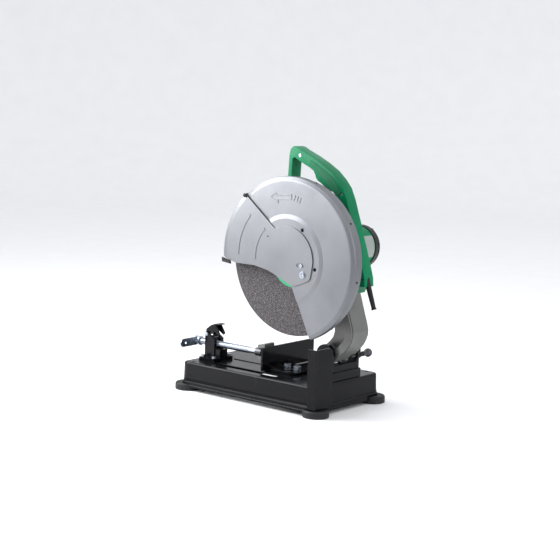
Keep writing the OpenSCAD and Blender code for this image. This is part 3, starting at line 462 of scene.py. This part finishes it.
def add_noise(tree: Tree, place: Socket, scale: float, detail: float) -> Socket:
    """Adds a noise texture.

    Args:
        tree: The node tree.
        place: The coordinates to read.
        scale: Its scale, per metre.
        detail: How many finer layers it has.

    Returns:
        The noise's socket.
    """
    node = tree.nodes.new("ShaderNodeTexNoise")
    node.inputs["Scale"].default_value = scale
    node.inputs["Detail"].default_value = detail
    tree.links.new(place, node.inputs["Vector"])
    return node.outputs["Fac"]


def add_cells(tree: Tree, place: Socket, scale: float) -> Socket:
    """Adds a cell texture.

    Args:
        tree: The node tree.
        place: The coordinates to read.
        scale: Its scale, per metre.

    Returns:
        The socket with the distance to the nearest cell's middle.
    """
    node = tree.nodes.new("ShaderNodeTexVoronoi")
    node.inputs["Scale"].default_value = scale
    tree.links.new(place, node.inputs["Vector"])
    return node.outputs["Distance"]


def add_mapping(
    tree: Tree,
    place: Socket,
    offset: Triple = (0.0, 0.0, 0.0),
    scale: Triple = (1.0, 1.0, 1.0),
) -> Socket:
    """Moves and stretches coordinates.

    Args:
        tree: The node tree.
        place: The coordinates to read.
        offset: How far to move them.
        scale: How much to stretch them.

    Returns:
        The result's socket.
    """
    node = tree.nodes.new("ShaderNodeMapping")
    node.inputs["Location"].default_value = offset
    node.inputs["Scale"].default_value = scale
    tree.links.new(place, node.inputs["Vector"])
    return node.outputs["Vector"]


def add_mix(tree: Tree, factor: Socket, first: Socket | Colour, second: Socket | Colour) -> Socket:
    """Mixes two colours.

    Args:
        tree: The node tree.
        factor: The share of the second one.
        first: A socket or a colour.
        second: A socket or a colour.

    Returns:
        The result's socket.
    """
    node = tree.nodes.new("ShaderNodeMix")
    node.data_type = "RGBA"
    tree.links.new(factor, node.inputs["Factor"])
    sockets = [socket for socket in node.inputs if socket.type == "RGBA"]
    for value, socket in zip((first, second), sockets):
        if isinstance(value, tuple):
            socket.default_value = (*value, 1.0)
        else:
            tree.links.new(value, socket)
    return next(socket for socket in node.outputs if socket.type == "RGBA")


def node_centre(node: str) -> Vector:
    """Gives the middle of a frame node's box."""
    low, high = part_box(node)
    return (Vector(low) + Vector(high)) / 2


# In each finish the lighter edge colour is part wearing and part painted highlight.
FINISHES: tuple[Finish, ...] = (
    Finish(
        "black_enamel",
        colour=(0.003, 0.003, 0.004), drift=(0.005, 0.005, 0.0065), wear_and_highlight_colour=(0.03, 0.03, 0.034),
        metallic=0.0, rough=(0.10, 0.20), grain=Grain.PEEL, pitch=260.0, relief=0.06,
        coat=0.03, gloss=0.10, edge_wear_and_highlight=0.2, edge=1.2 * MM,
    ),
    Finish(
        "rubber", colour=(0.008, 0.008, 0.009), drift=(0.014, 0.014, 0.015), wear_and_highlight_colour=(0.03, 0.03, 0.03),
        metallic=0.0, rough=(0.5, 0.7), grain=Grain.MOULDED, pitch=900.0, relief=0.25,
        gloss=0.3,
    ),
    Finish(
        "zinc", colour=(0.42, 0.46, 0.51), drift=(0.30, 0.34, 0.40), wear_and_highlight_colour=(0.66, 0.68, 0.72),
        metallic=1.0, rough=(0.20, 0.38), grain=Grain.BRUSHED, pitch=1400.0, relief=0.10,
        edge_wear_and_highlight=0.4, edge=0.4 * MM,
    ),
    Finish(
        "cast_grey", colour=(0.165, 0.165, 0.158), drift=(0.12, 0.12, 0.116), wear_and_highlight_colour=(0.32, 0.32, 0.31),
        metallic=0.35, rough=(0.36, 0.52), grain=Grain.CAST, pitch=700.0, relief=0.22,
        edge_wear_and_highlight=0.3, edge=1.2 * MM,
    ),
    Finish(
        "guard_silver", colour=(0.195, 0.20, 0.213), drift=(0.15, 0.155, 0.17), wear_and_highlight_colour=(0.40, 0.41, 0.44),
        metallic=0.72, rough=(0.38, 0.46), grain=Grain.PEEL, pitch=900.0, relief=0.05,
        coat=0.04, edge_wear_and_highlight=0.25, edge=1.0 * MM,
    ),
    Finish(
        "green_body", colour=(0.0005, 0.180, 0.074), drift=(0.001, 0.135, 0.055), wear_and_highlight_colour=(0.03, 0.36, 0.21),
        metallic=0.0, rough=(0.26, 0.40), grain=Grain.MOULDED, pitch=1100.0, relief=0.08,
        gloss=0.12, edge_wear_and_highlight=0.2, edge=1.2 * MM,
    ),
    Finish(
        "green_grip", colour=(0.0005, 0.170, 0.070), drift=(0.001, 0.100, 0.042), wear_and_highlight_colour=(0.04, 0.34, 0.2),
        metallic=0.0, rough=(0.40, 0.55), grain=Grain.GRIT, pitch=420.0, relief=0.9,
        gloss=0.2, edge_wear_and_highlight=0.3, edge=0.4 * MM,
    ),
    Finish(
        "black_plastic",
        colour=(0.008, 0.008, 0.009), drift=(0.014, 0.014, 0.015), wear_and_highlight_colour=(0.035, 0.035, 0.035),
        metallic=0.0, rough=(0.34, 0.5), grain=Grain.MOULDED, pitch=1000.0, relief=0.18,
        gloss=0.35, edge=0.8 * MM,
    ),
    Finish(
        "dark_steel", colour=(0.10, 0.105, 0.115), drift=(0.06, 0.06, 0.065), wear_and_highlight_colour=(0.3, 0.3, 0.32),
        metallic=0.9, rough=(0.28, 0.45), grain=Grain.BRUSHED, pitch=1200.0, relief=0.12,
        edge=0.5 * MM,
    ),
    Finish(
        "carbon", colour=(0.02, 0.02, 0.02), drift=(0.03, 0.03, 0.03), wear_and_highlight_colour=(0.06, 0.06, 0.06),
        metallic=0.2, rough=(0.5, 0.7), grain=Grain.CAST, pitch=1500.0, relief=0.2,
    ),
    Finish(
        "copper", colour=(0.72, 0.31, 0.16), drift=(0.45, 0.18, 0.09), wear_and_highlight_colour=(0.9, 0.5, 0.3),
        metallic=1.0, rough=(0.2, 0.4), grain=Grain.BRUSHED, pitch=1800.0, relief=0.1,
    ),
    AbrasiveFinish(
        "abrasive", colour=(0.066, 0.060, 0.064), drift=(0.10, 0.094, 0.098), wear_and_highlight_colour=(0.15, 0.14, 0.14),
        metallic=0.0, rough=(0.78, 0.95), grain=Grain.GRIT, pitch=330.0, relief=0.65,
        gloss=0.25, edge_wear_and_highlight=0.2, edge=0.5 * MM,
    ),
    CardFinish(
        "label_paper", colour=(0.004, 0.34, 0.14), drift=(0.006, 0.28, 0.12), wear_and_highlight_colour=(0.3, 0.5, 0.4),
        metallic=0.0, rough=(0.45, 0.6), grain=Grain.CARD, pitch=1500.0, relief=0.05,
        edge=0.2 * MM, centre=tuple(node_centre("wheel")),
    ),
    Finish(
        "blank_plate", colour=(0.34, 0.37, 0.355), drift=(0.26, 0.285, 0.27), wear_and_highlight_colour=(0.6, 0.6, 0.6),
        metallic=0.4, rough=(0.3, 0.45), grain=Grain.BRUSHED, pitch=1500.0, relief=0.05,
        edge=0.3 * MM,
    ),
)


def dress_frame(materials: Materials) -> None:
    """Gives every frame node the material of its slot.

    Args:
        materials: The material of each slot.
    """
    for entry in frame["record"]["subparts"]:
        piece = frame["nodes"][entry["node"]]
        for slot in piece.material_slots:
            slot.material = materials[entry["material_slot"]]


def only(piece: bpy.types.Object) -> None:
    """Selects one object and makes it active.

    Args:
        piece: The object.
    """
    bpy.ops.object.select_all(action="DESELECT")
    piece.select_set(True)
    bpy.context.view_layer.objects.active = piece


def start_edit(piece: bpy.types.Object, pick: Pick = Pick.POINTS) -> bmesh.types.BMesh:
    """Opens a piece in edit mode with nothing selected.

    Args:
        piece: The piece to edit.
        pick: What is selected in it.

    Returns:
        Its edit mesh.
    """
    only(piece)
    bpy.ops.object.mode_set(mode="EDIT")
    bpy.ops.mesh.select_mode(type=pick.value)
    bpy.ops.mesh.select_all(action="DESELECT")
    return bmesh.from_edit_mesh(piece.data)


def pick_faces(piece: bpy.types.Object, mesh: bmesh.types.BMesh, way: Vector, both: bool = False) -> None:
    """Selects the faces that face a way.

    Args:
        piece: The piece in edit mode.
        mesh: Its edit mesh.
        way: The way they face.
        both: Whether those that face the opposite way are taken too.
    """
    for face in mesh.faces:
        along = face.normal.dot(way)
        if (abs(along) if both else along) > FACING:
            face.select_set(True)
    bmesh.update_edit_mesh(piece.data)


def turn_outwards() -> None:
    """Selects the whole piece and turns its faces outwards."""
    bpy.ops.mesh.select_all(action="SELECT")
    bpy.ops.mesh.normals_make_consistent(inside=False)


def end_edit() -> None:
    """Leaves edit mode."""
    bpy.ops.object.mode_set(mode="OBJECT")


def settle(piece: bpy.types.Object, name: str, material: bpy.types.Material, angle: float = 30.0) -> None:
    """Applies a piece's place, shades it and gives it its material.

    Args:
        piece: The finished piece.
        name: Its name.
        material: Its material.
        angle: The largest angle that is shaded smooth, in degrees.
    """
    only(piece)
    bpy.ops.object.transform_apply(location=True, rotation=True, scale=True)
    bpy.ops.object.shade_smooth_by_angle(angle=math.radians(angle))
    piece.name = name
    piece.data.name = name
    piece.data.materials.clear()
    piece.data.materials.append(material)


def take_copy(node: str) -> bpy.types.Object:
    """Copies a frame node into a clean, closed mesh of flat faces.

    Args:
        node: The node to copy.

    Returns:
        The copy.
    """
    only(frame["nodes"][node])
    bpy.ops.object.duplicate()
    copy = bpy.context.view_layer.objects.active
    copy.parent = None
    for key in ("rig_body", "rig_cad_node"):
        if key in copy:
            del copy[key]
    bpy.ops.object.mode_set(mode="EDIT")
    bpy.ops.mesh.select_all(action="SELECT")
    bpy.ops.mesh.remove_doubles(threshold=SAME_POINT)
    bpy.ops.mesh.customdata_custom_splitnormals_clear()
    bpy.ops.mesh.dissolve_limited(angle_limit=FLAT)
    bpy.ops.mesh.select_all(action="DESELECT")
    end_edit()
    return copy


@dataclass
class Handle:
    """The loop handle: two moulded halves with soft edges, and a raised pad along the grip.

    Attributes:
        edge_radius: Radius of the outer edges.
        edge_steps: Faces round an outer edge.
        shortest_edge: Edges shorter than this stay sharp.
        sharpest_bend: Faces that meet at less than this, in radians, need no rounding.
        pad_line: Middle of the pad down the grip, as (y, z) in the frame.
        pad_widths: Half the pad's width at each of those places.
        pad_rise: How far the pad stands out of the half.
        pad_sink: How far its underside lies in the half.
        pad_rim: Width of the flat rim outside the pad's groove.
        groove_slopes: Widths of the groove's outer and inner slope.
        groove_depth: Depth of the groove.
    """

    edge_radius: float = 5.0 * MM
    edge_steps: int = 4
    shortest_edge: float = 6.0 * MM
    sharpest_bend: float = 0.6
    pad_line: tuple[Pair, ...] = (
        (0.092, 0.5685), (0.107, 0.5600), (0.122, 0.5500), (0.137, 0.5385),
        (0.152, 0.5270), (0.167, 0.5130), (0.178, 0.4990),
    )
    pad_widths: tuple[float, ...] = (0.0050, 0.0056, 0.0080, 0.0110, 0.0120, 0.0100, 0.0070)
    pad_rise: float = 0.7 * MM
    pad_sink: float = 0.2 * MM
    pad_rim: float = 1.0 * MM
    groove_slopes: Pair = (0.5 * MM, 0.4 * MM)
    groove_depth: float = 0.35 * MM

    def build(self, materials: Materials) -> list[bpy.types.Object]:
        """Builds the halves and their pads.

        Args:
            materials: The material of each slot.

        Returns:
            The pieces.
        """
        pieces = []
        for node, outward in (("handle_left", -1.0), ("handle_right", 1.0)):
            low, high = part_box(node)
            side = high[0] if outward > 0 else low[0]
            half = self.soften(node, side)
            settle(half, f"{node}_shell", materials["green_body"], angle=35.0)
            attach(half, "head")
            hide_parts(node)
            pad = self.lay_pad(side, outward)
            settle(pad, f"{node}_pad", materials["green_grip"])
            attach(pad, "head")
            pieces += [half, pad]
        return pieces

    def soften(self, node: str, side: float) -> bpy.types.Object:
        """Rounds the outer edges of one half.

        Args:
            node: The frame node of the half.
            side: Where its outer face lies along X.

        Returns:
            The half.
        """
        half = take_copy(node)
        mesh = start_edit(half, Pick.EDGES)
        for edge in mesh.edges:
            on_side = all(abs(vertex.co.x - side) < ON_FACE for vertex in edge.verts)
            long_enough = edge.calc_length() > self.shortest_edge
            between_two = len(edge.link_faces) == 2
            if on_side and long_enough and between_two and edge.calc_face_angle(0.0) > self.sharpest_bend:
                edge.select_set(True)
        bmesh.update_edit_mesh(half.data)
        bpy.ops.mesh.bevel(
            offset=self.edge_radius, segments=self.edge_steps, affect="EDGES", clamp_overlap=True,
        )
        end_edit()
        return half

    def lay_pad(self, side: float, outward: float) -> bpy.types.Object:
        """Raises a dotted pad on the grip's side, with a groove inside its rim.

        Args:
            side: Where the half's outer face lies along X.
            outward: The way it faces, +1 or -1 along X.

        Returns:
            The pad.
        """
        spans = len(self.pad_line) - 1
        bpy.ops.mesh.primitive_grid_add(x_subdivisions=spans, y_subdivisions=1, size=2.0)
        pad = bpy.context.active_object
        mesh = start_edit(pad)
        for vertex in mesh.verts:
            index = round((vertex.co.x + 1.0) / 2.0 * spans)
            y, z = self.pad_line[index]
            before = Vector(self.pad_line[max(index - 1, 0)])
            after = Vector(self.pad_line[min(index + 1, spans)])
            across = Vector((-(after - before).y, (after - before).x)).normalized() * self.pad_widths[index]
            way = 1.0 if vertex.co.y > 0 else -1.0
            vertex.co = Vector((side - outward * self.pad_sink, y + way * across.x, z + way * across.y))
        bmesh.update_edit_mesh(pad.data)
        bpy.ops.mesh.select_mode(type=Pick.FACES.value)
        bpy.ops.mesh.select_all(action="SELECT")
        bpy.ops.mesh.dissolve_limited(angle_limit=math.radians(1.0))
        bpy.ops.mesh.select_all(action="SELECT")
        rise = outward * (self.pad_rise + self.pad_sink)
        bpy.ops.mesh.extrude_region_move(TRANSFORM_OT_translate={"value": (rise, 0.0, 0.0)})
        outer_slope, inner_slope = self.groove_slopes
        bpy.ops.mesh.inset(thickness=self.pad_rim, depth=0.0)
        bpy.ops.mesh.inset(thickness=outer_slope, depth=-self.groove_depth)
        bpy.ops.mesh.inset(thickness=inner_slope, depth=self.groove_depth)
        turn_outwards()
        end_edit()
        return pad


@dataclass
class ViseScrew:
    """The vise's long screw, with a real helical thread on its shank.

    Attributes:
        pitch: How far the thread climbs in a turn.
        depth: How deep the thread is.
        steps: Faces along a turn.
        plain_end: Length left plain at the crank; at least twice as much is at the jaw.
        core_faces: Faces round the core.
        end_ring: How far in from the rim a flat ring runs round each end of the core.
        end_ring_reach: How far that ring reaches to either side of its middle.
        foot_share: Width of the thread's foot as a share of the pitch.
        crest_share: Width of its crest as a share of its foot.
        sink: How far the thread's foot lies in the core.
    """

    pitch: float = 4.0 * MM
    depth: float = 1.1 * MM
    steps: int = 20
    plain_end: float = 14.0 * MM
    core_faces: int = 40
    end_ring: float = 1.2 * MM
    end_ring_reach: float = 0.4 * MM
    foot_share: float = 0.7
    crest_share: float = 0.45
    sink: float = 0.15 * MM

    def build(self, materials: Materials) -> list[bpy.types.Object]:
        """Turns the core and winds the thread on it.

        Args:
            materials: The material of each slot.

        Returns:
            The pieces.
        """
        low, high = (Vector(corner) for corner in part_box("lead_screw"))
        centre = (low + high) / 2
        root = (high.z - low.z) / 2 - self.depth
        core = self.turn_core(centre, root, high.y - low.y)
        settle(core, "vise_screw_core", materials["zinc"])
        thread = self.wind(centre, root, low.y + self.plain_end, high.y - 2 * self.plain_end)
        settle(thread, "vise_screw_thread", materials["zinc"], angle=25.0)
        for piece in (core, thread):
            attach(piece, "screw")
        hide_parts("lead_screw")
        return [core, thread]

    def turn_core(self, centre: Vector, root: float, length: float) -> bpy.types.Object:
        """Turns the plain bar under the thread.

        Args:
            centre: The bar's middle.
            root: Its radius.
            length: Its length along Y.

        Returns:
            The bar.
        """
        bpy.ops.mesh.primitive_cylinder_add(
            vertices=self.core_faces, radius=root, depth=length, location=centre,
            rotation=(QUARTER_TURN, 0.0, 0.0),
        )
        core = bpy.context.active_object
        bpy.ops.object.transform_apply(location=True, rotation=True, scale=True)
        pick_faces(core, start_edit(core, Pick.FACES), Vector((0.0, 1.0, 0.0)), both=True)
        bpy.ops.mesh.inset(thickness=self.end_ring, depth=0.0)
        bpy.ops.mesh.bevel(offset=self.end_ring_reach, segments=2, affect="EDGES")
        end_edit()
        return core

    def wind(self, centre: Vector, root: float, start: float, end: float) -> bpy.types.Object:
        """Winds a trapezoidal ridge about the screw's axis.

        Args:
            centre: A point on the axis.
            root: Radius at the ridge's foot.
            start: Where it starts along Y.
            end: Where it has to end by, along Y.

        Returns:
            The ridge.
        """
        middle = root + self.depth / 2
        bpy.ops.mesh.primitive_plane_add(
            size=self.pitch * self.foot_share, location=(middle, 0.0, 0.0), rotation=(QUARTER_TURN, 0.0, 0.0)
        )
        ridge = bpy.context.active_object
        bpy.ops.object.transform_apply(location=True, rotation=True, scale=True)
        mesh = start_edit(ridge)
        for vertex in mesh.verts:
            outer = vertex.co.x > middle
            vertex.co.x = root + self.depth if outer else root - self.sink
            if outer:
                vertex.co.z *= self.crest_share
        bmesh.update_edit_mesh(ridge.data)
        end_edit()
        screw = ridge.modifiers.new("wind", "SCREW")
        screw.axis = "Z"
        screw.angle = FULL_TURN
        screw.screw_offset = self.pitch
        screw.iterations = int((end - start) / self.pitch)
        screw.steps = screw.render_steps = self.steps
        screw.use_merge_vertices = True
        bpy.ops.object.modifier_apply(modifier=screw.name)
        lay_down = Matrix.Rotation(-QUARTER_TURN, 4, "X")
        ridge.data.transform(Matrix.Translation((centre.x, start, centre.z)) @ lay_down)
        start_edit(ridge, Pick.EDGES)
        bpy.ops.mesh.select_non_manifold()
        bpy.ops.mesh.edge_face_add()
        turn_outwards()
        end_edit()
        return ridge


@dataclass
class ReturnSpring:
    """The head's torsion spring: round wire wound about the hinge shaft.

    Attributes:
        wire: Radius of the wire.
        turns: How many turns it has.
        steps: Faces along a turn.
        wire_faces: Faces round the wire.
    """

    wire: float = 1.6 * MM
    turns: float = 4.5
    steps: int = 32
    wire_faces: int = 10

    def build(self, materials: Materials) -> list[bpy.types.Object]:
        """Winds the wire.

        Args:
            materials: The material of each slot.

        Returns:
            The piece.
        """
        low, high = (Vector(corner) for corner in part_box("return_spring"))
        centre = (low + high) / 2
        reach = (high.z - low.z) / 2 - self.wire
        bpy.ops.mesh.primitive_circle_add(
            vertices=self.wire_faces, radius=self.wire, fill_type="NGON", location=(reach, 0.0, 0.0),
            rotation=(QUARTER_TURN, 0.0, 0.0),
        )
        coil = bpy.context.active_object
        bpy.ops.object.transform_apply(location=True, rotation=True, scale=True)
        start_edit(coil)
        bpy.ops.mesh.select_all(action="SELECT")
        bpy.ops.mesh.spin(
            steps=int(self.steps * self.turns), angle=FULL_TURN * self.turns,
            center=(0.0, 0.0, 0.0), axis=(0.0, 0.0, 1.0),
        )
        self.draw_out(coil, high.x - low.x - 2 * self.wire)
        turn_outwards()
        end_edit()
        stand_up = Matrix.Rotation(QUARTER_TURN, 4, "Y")
        coil.data.transform(Matrix.Translation((low.x + self.wire, centre.y, centre.z)) @ stand_up)
        settle(coil, "return_spring_coil", materials["zinc"], angle=60.0)
        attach(coil, "base")
        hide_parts("return_spring")
        return [coil]

    def draw_out(self, coil: bpy.types.Object, length: float) -> None:
        """Draws the flat ring of turns out along its axis.

        Args:
            coil: The ring, in edit mode.
            length: How far its last section moves.
        """
        mesh = bmesh.from_edit_mesh(coil.data)
        mesh.verts.ensure_lookup_table()
        last = len(mesh.verts) // self.wire_faces - 1
        for index, vertex in enumerate(mesh.verts):
            vertex.co.z += length * (index // self.wire_faces) / last
        bmesh.update_edit_mesh(coil.data)


@dataclass
class CoverKnob:
    """The swinging cover's knob: a turned rubber grip with a waist and a rounded end.

    Attributes:
        waist: Radius of the waist as a share of the grip's.
        waist_share: Length of the waist as a share of the knob's.
        flare_share: Length of the flare after it.
        grip_share: Length of the grip at the end.
        rounding: Radius of the grip's outer edge.
        faces: Faces round the knob.
    """

    waist: float = 0.72
    waist_share: float = 0.6
    flare_share: float = 0.1
    grip_share: float = 0.3
    rounding: float = 1.6 * MM
    faces: int = 40

    def build(self, materials: Materials) -> list[bpy.types.Object]:
        """Turns the knob.

        Args:
            materials: The material of each slot.

        Returns:
            The piece.
        """
        low, high = (Vector(corner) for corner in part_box("cover_knob"))
        centre = (low + high) / 2
        radius = (high.z - low.z) / 2
        length = high.x - low.x
        stem = length * self.waist_share
        bpy.ops.mesh.primitive_cylinder_add(
            vertices=self.faces, radius=radius * self.waist, depth=stem,
            location=(low.x + stem / 2, centre.y, centre.z), rotation=(0.0, QUARTER_TURN, 0.0),
        )
        knob = bpy.context.active_object
        bpy.ops.object.transform_apply(location=True, rotation=True, scale=True)
        pick_faces(knob, start_edit(knob, Pick.FACES), Vector((1.0, 0.0, 0.0)))
        flare, grip = length * self.flare_share, length * self.grip_share
        bpy.ops.mesh.extrude_region_move(TRANSFORM_OT_translate={"value": (flare, 0.0, 0.0)})
        mesh = bmesh.from_edit_mesh(knob.data)
        for vertex in (v for v in mesh.verts if v.select):
            vertex.co.yz = centre.yz + (vertex.co.yz - centre.yz) / self.waist
        bmesh.update_edit_mesh(knob.data)
        bpy.ops.mesh.extrude_region_move(TRANSFORM_OT_translate={"value": (grip, 0.0, 0.0)})
        bpy.ops.mesh.bevel(offset=self.rounding, segments=4, affect="EDGES")
        end_edit()
        settle(knob, "cover_knob_grip", materials["rubber"])
        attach(knob, "cover")
        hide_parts("cover_knob")
        return [knob]


@dataclass(frozen=True)
class Lamp:
    """One soft square light that faces the saw.

    Attributes:
        name: Its name.
        azimuth: Where it stands round the saw, in degrees.
        elevation: How high it stands, in degrees.
        distance: How far away it is.
        size: The length of its side.
        power: Its power in watts.
    """

    name: str
    azimuth: float
    elevation: float
    distance: float
    size: float
    power: float


@dataclass
class Studio:
    """Plain pale floor that rises all round, soft lights and the camera.

    Attributes:
        azimuth: Where the camera stands round the saw, in degrees.
        elevation: How high it looks from, in degrees.
        roll: How far the picture is turned, in degrees.
        distance: From the camera to its target.
        lens: Its focal length, in millimetres.
        sensor: Width of its sensor, in millimetres.
        target: What it looks at.
        lamps: The lights.
        sky: Colour of the light from all round.
        sky_strength: How strong that light is.
        floor_radius: Radius of the level floor.
        floor_faces: Faces round the floor.
        floor_curve: Radius of the curve from the floor up to the wall.
        curve_steps: Faces up that curve.
        wall: Height of the wall above it.
    """

    azimuth: float = 129.36
    elevation: float = 7.96
    roll: float = 1.71
    distance: float = 3.1783
    lens: float = 85.24
    sensor: float = 36.0
    target: Triple = (-0.0002, -0.0066, 0.2802)
    lamps: tuple[Lamp, ...] = (
        Lamp("key_light", azimuth=48.0, elevation=26.0, distance=1.2, size=0.8, power=24.0),
        Lamp("top_light", azimuth=170.0, elevation=74.0, distance=2.2, size=1.8, power=4.0),
        Lamp("side_light", azimuth=190.0, elevation=18.0, distance=2.4, size=1.2, power=12.0),
        Lamp("front_light", azimuth=12.0, elevation=48.0, distance=2.2, size=1.2, power=16.0),
    )
    sky: Colour = (0.95, 0.97, 1.0)
    sky_strength: float = 1.08
    floor_radius: float = 5.0
    floor_faces: int = 96
    floor_curve: float = 1.5
    curve_steps: int = 8
    wall: float = 1.2

    def back(self, azimuth: float, elevation: float) -> Vector:
        """Gives the direction from the target to a place round the saw."""
        turn, lift = math.radians(azimuth), math.radians(elevation)
        return Vector((math.sin(turn) * math.cos(lift), -math.cos(turn) * math.cos(lift), math.sin(lift)))

    def build(self) -> None:
        """Sets up the floor, the lights and the camera."""
        self.lay_floor()
        for lamp in self.lamps:
            self.hang(lamp)
        bpy.context.scene.view_settings.view_transform = "Standard"
        world = bpy.data.worlds.new("studio")
        bpy.context.scene.world = world
        world.use_nodes = True
        background = world.node_tree.nodes["Background"]
        background.inputs["Color"].default_value = (*self.sky, 1.0)
        background.inputs["Strength"].default_value = self.sky_strength
        self.set_camera()

    def lay_floor(self) -> None:
        """Lays a level disc whose rim curves up into a wall."""
        bpy.ops.mesh.primitive_circle_add(
            vertices=self.floor_faces, radius=self.floor_radius, fill_type="NGON"
        )
        floor = bpy.context.active_object
        start_edit(floor, Pick.EDGES)
        bpy.ops.mesh.select_all(action="SELECT")
        bpy.ops.mesh.region_to_loop()
        for step in range(self.curve_steps):
            start, end = (QUARTER_TURN * part / self.curve_steps for part in (step, step + 1))
            was = self.floor_radius + self.floor_curve * math.sin(start)
            grown = self.floor_radius + self.floor_curve * math.sin(end)
            climb = self.floor_curve * (math.cos(start) - math.cos(end))
            bpy.ops.mesh.extrude_edges_move(TRANSFORM_OT_translate={"value": (0.0, 0.0, climb)})
            bpy.ops.transform.resize(value=(grown / was, grown / was, 1.0), center_override=(0.0, 0.0, 0.0))
        bpy.ops.mesh.extrude_edges_move(TRANSFORM_OT_translate={"value": (0.0, 0.0, self.wall)})
        bpy.ops.mesh.select_all(action="SELECT")
        bpy.ops.mesh.normals_make_consistent(inside=True)
        end_edit()
        card = Finish(
            "studio_card", colour=(0.86, 0.86, 0.86), drift=(0.84, 0.84, 0.845), wear_and_highlight_colour=(0.86, 0.86, 0.86),
            metallic=0.0, rough=(0.55, 0.65), grain=Grain.CARD, pitch=300.0, relief=0.01, edge_wear_and_highlight=0.0,
        ).build()
        settle(floor, "studio_floor", card, angle=60.0)

    def hang(self, lamp: Lamp) -> None:
        """Hangs a soft light that faces the saw.

        Args:
            lamp: The light.
        """
        data = bpy.data.lights.new(lamp.name, "AREA")
        data.size = lamp.size
        data.energy = lamp.power
        piece = bpy.data.objects.new(lamp.name, data)
        bpy.context.scene.collection.objects.link(piece)
        back = self.back(lamp.azimuth, lamp.elevation)
        piece.location = Vector(self.target) + back * lamp.distance
        piece.rotation_mode = "QUATERNION"
        piece.rotation_quaternion = (-back).to_track_quat("-Z", "Y")

    def set_camera(self) -> None:
        """Places the camera."""
        data = bpy.data.cameras.new("camera")
        data.lens = self.lens
        data.sensor_width = self.sensor
        camera = bpy.data.objects.new("camera", data)
        bpy.context.scene.collection.objects.link(camera)
        back = self.back(self.azimuth, self.elevation)
        camera.location = Vector(self.target) + back * self.distance
        camera.rotation_mode = "QUATERNION"
        aim = (-back).to_track_quat("-Z", "Y").to_matrix().to_4x4()
        tilt = Matrix.Rotation(math.radians(self.roll), 4, "Z")
        camera.rotation_quaternion = (aim @ tilt).to_quaternion()
        bpy.context.scene.camera = camera


def main() -> None:
    """Dresses the frame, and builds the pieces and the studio."""
    logging.basicConfig(level=logging.INFO, format="%(name)s: %(message)s")
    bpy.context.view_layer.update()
    materials = {finish.name: finish.build() for finish in FINISHES}
    dress_frame(materials)
    for assembly in (Handle(), ViseScrew(), ReturnSpring(), CoverKnob()):
        for piece in assembly.build(materials):
            log.info("built %s with %d faces", piece.name, len(piece.data.polygons))
    Studio().build()


if __name__ == "__main__":
    main()
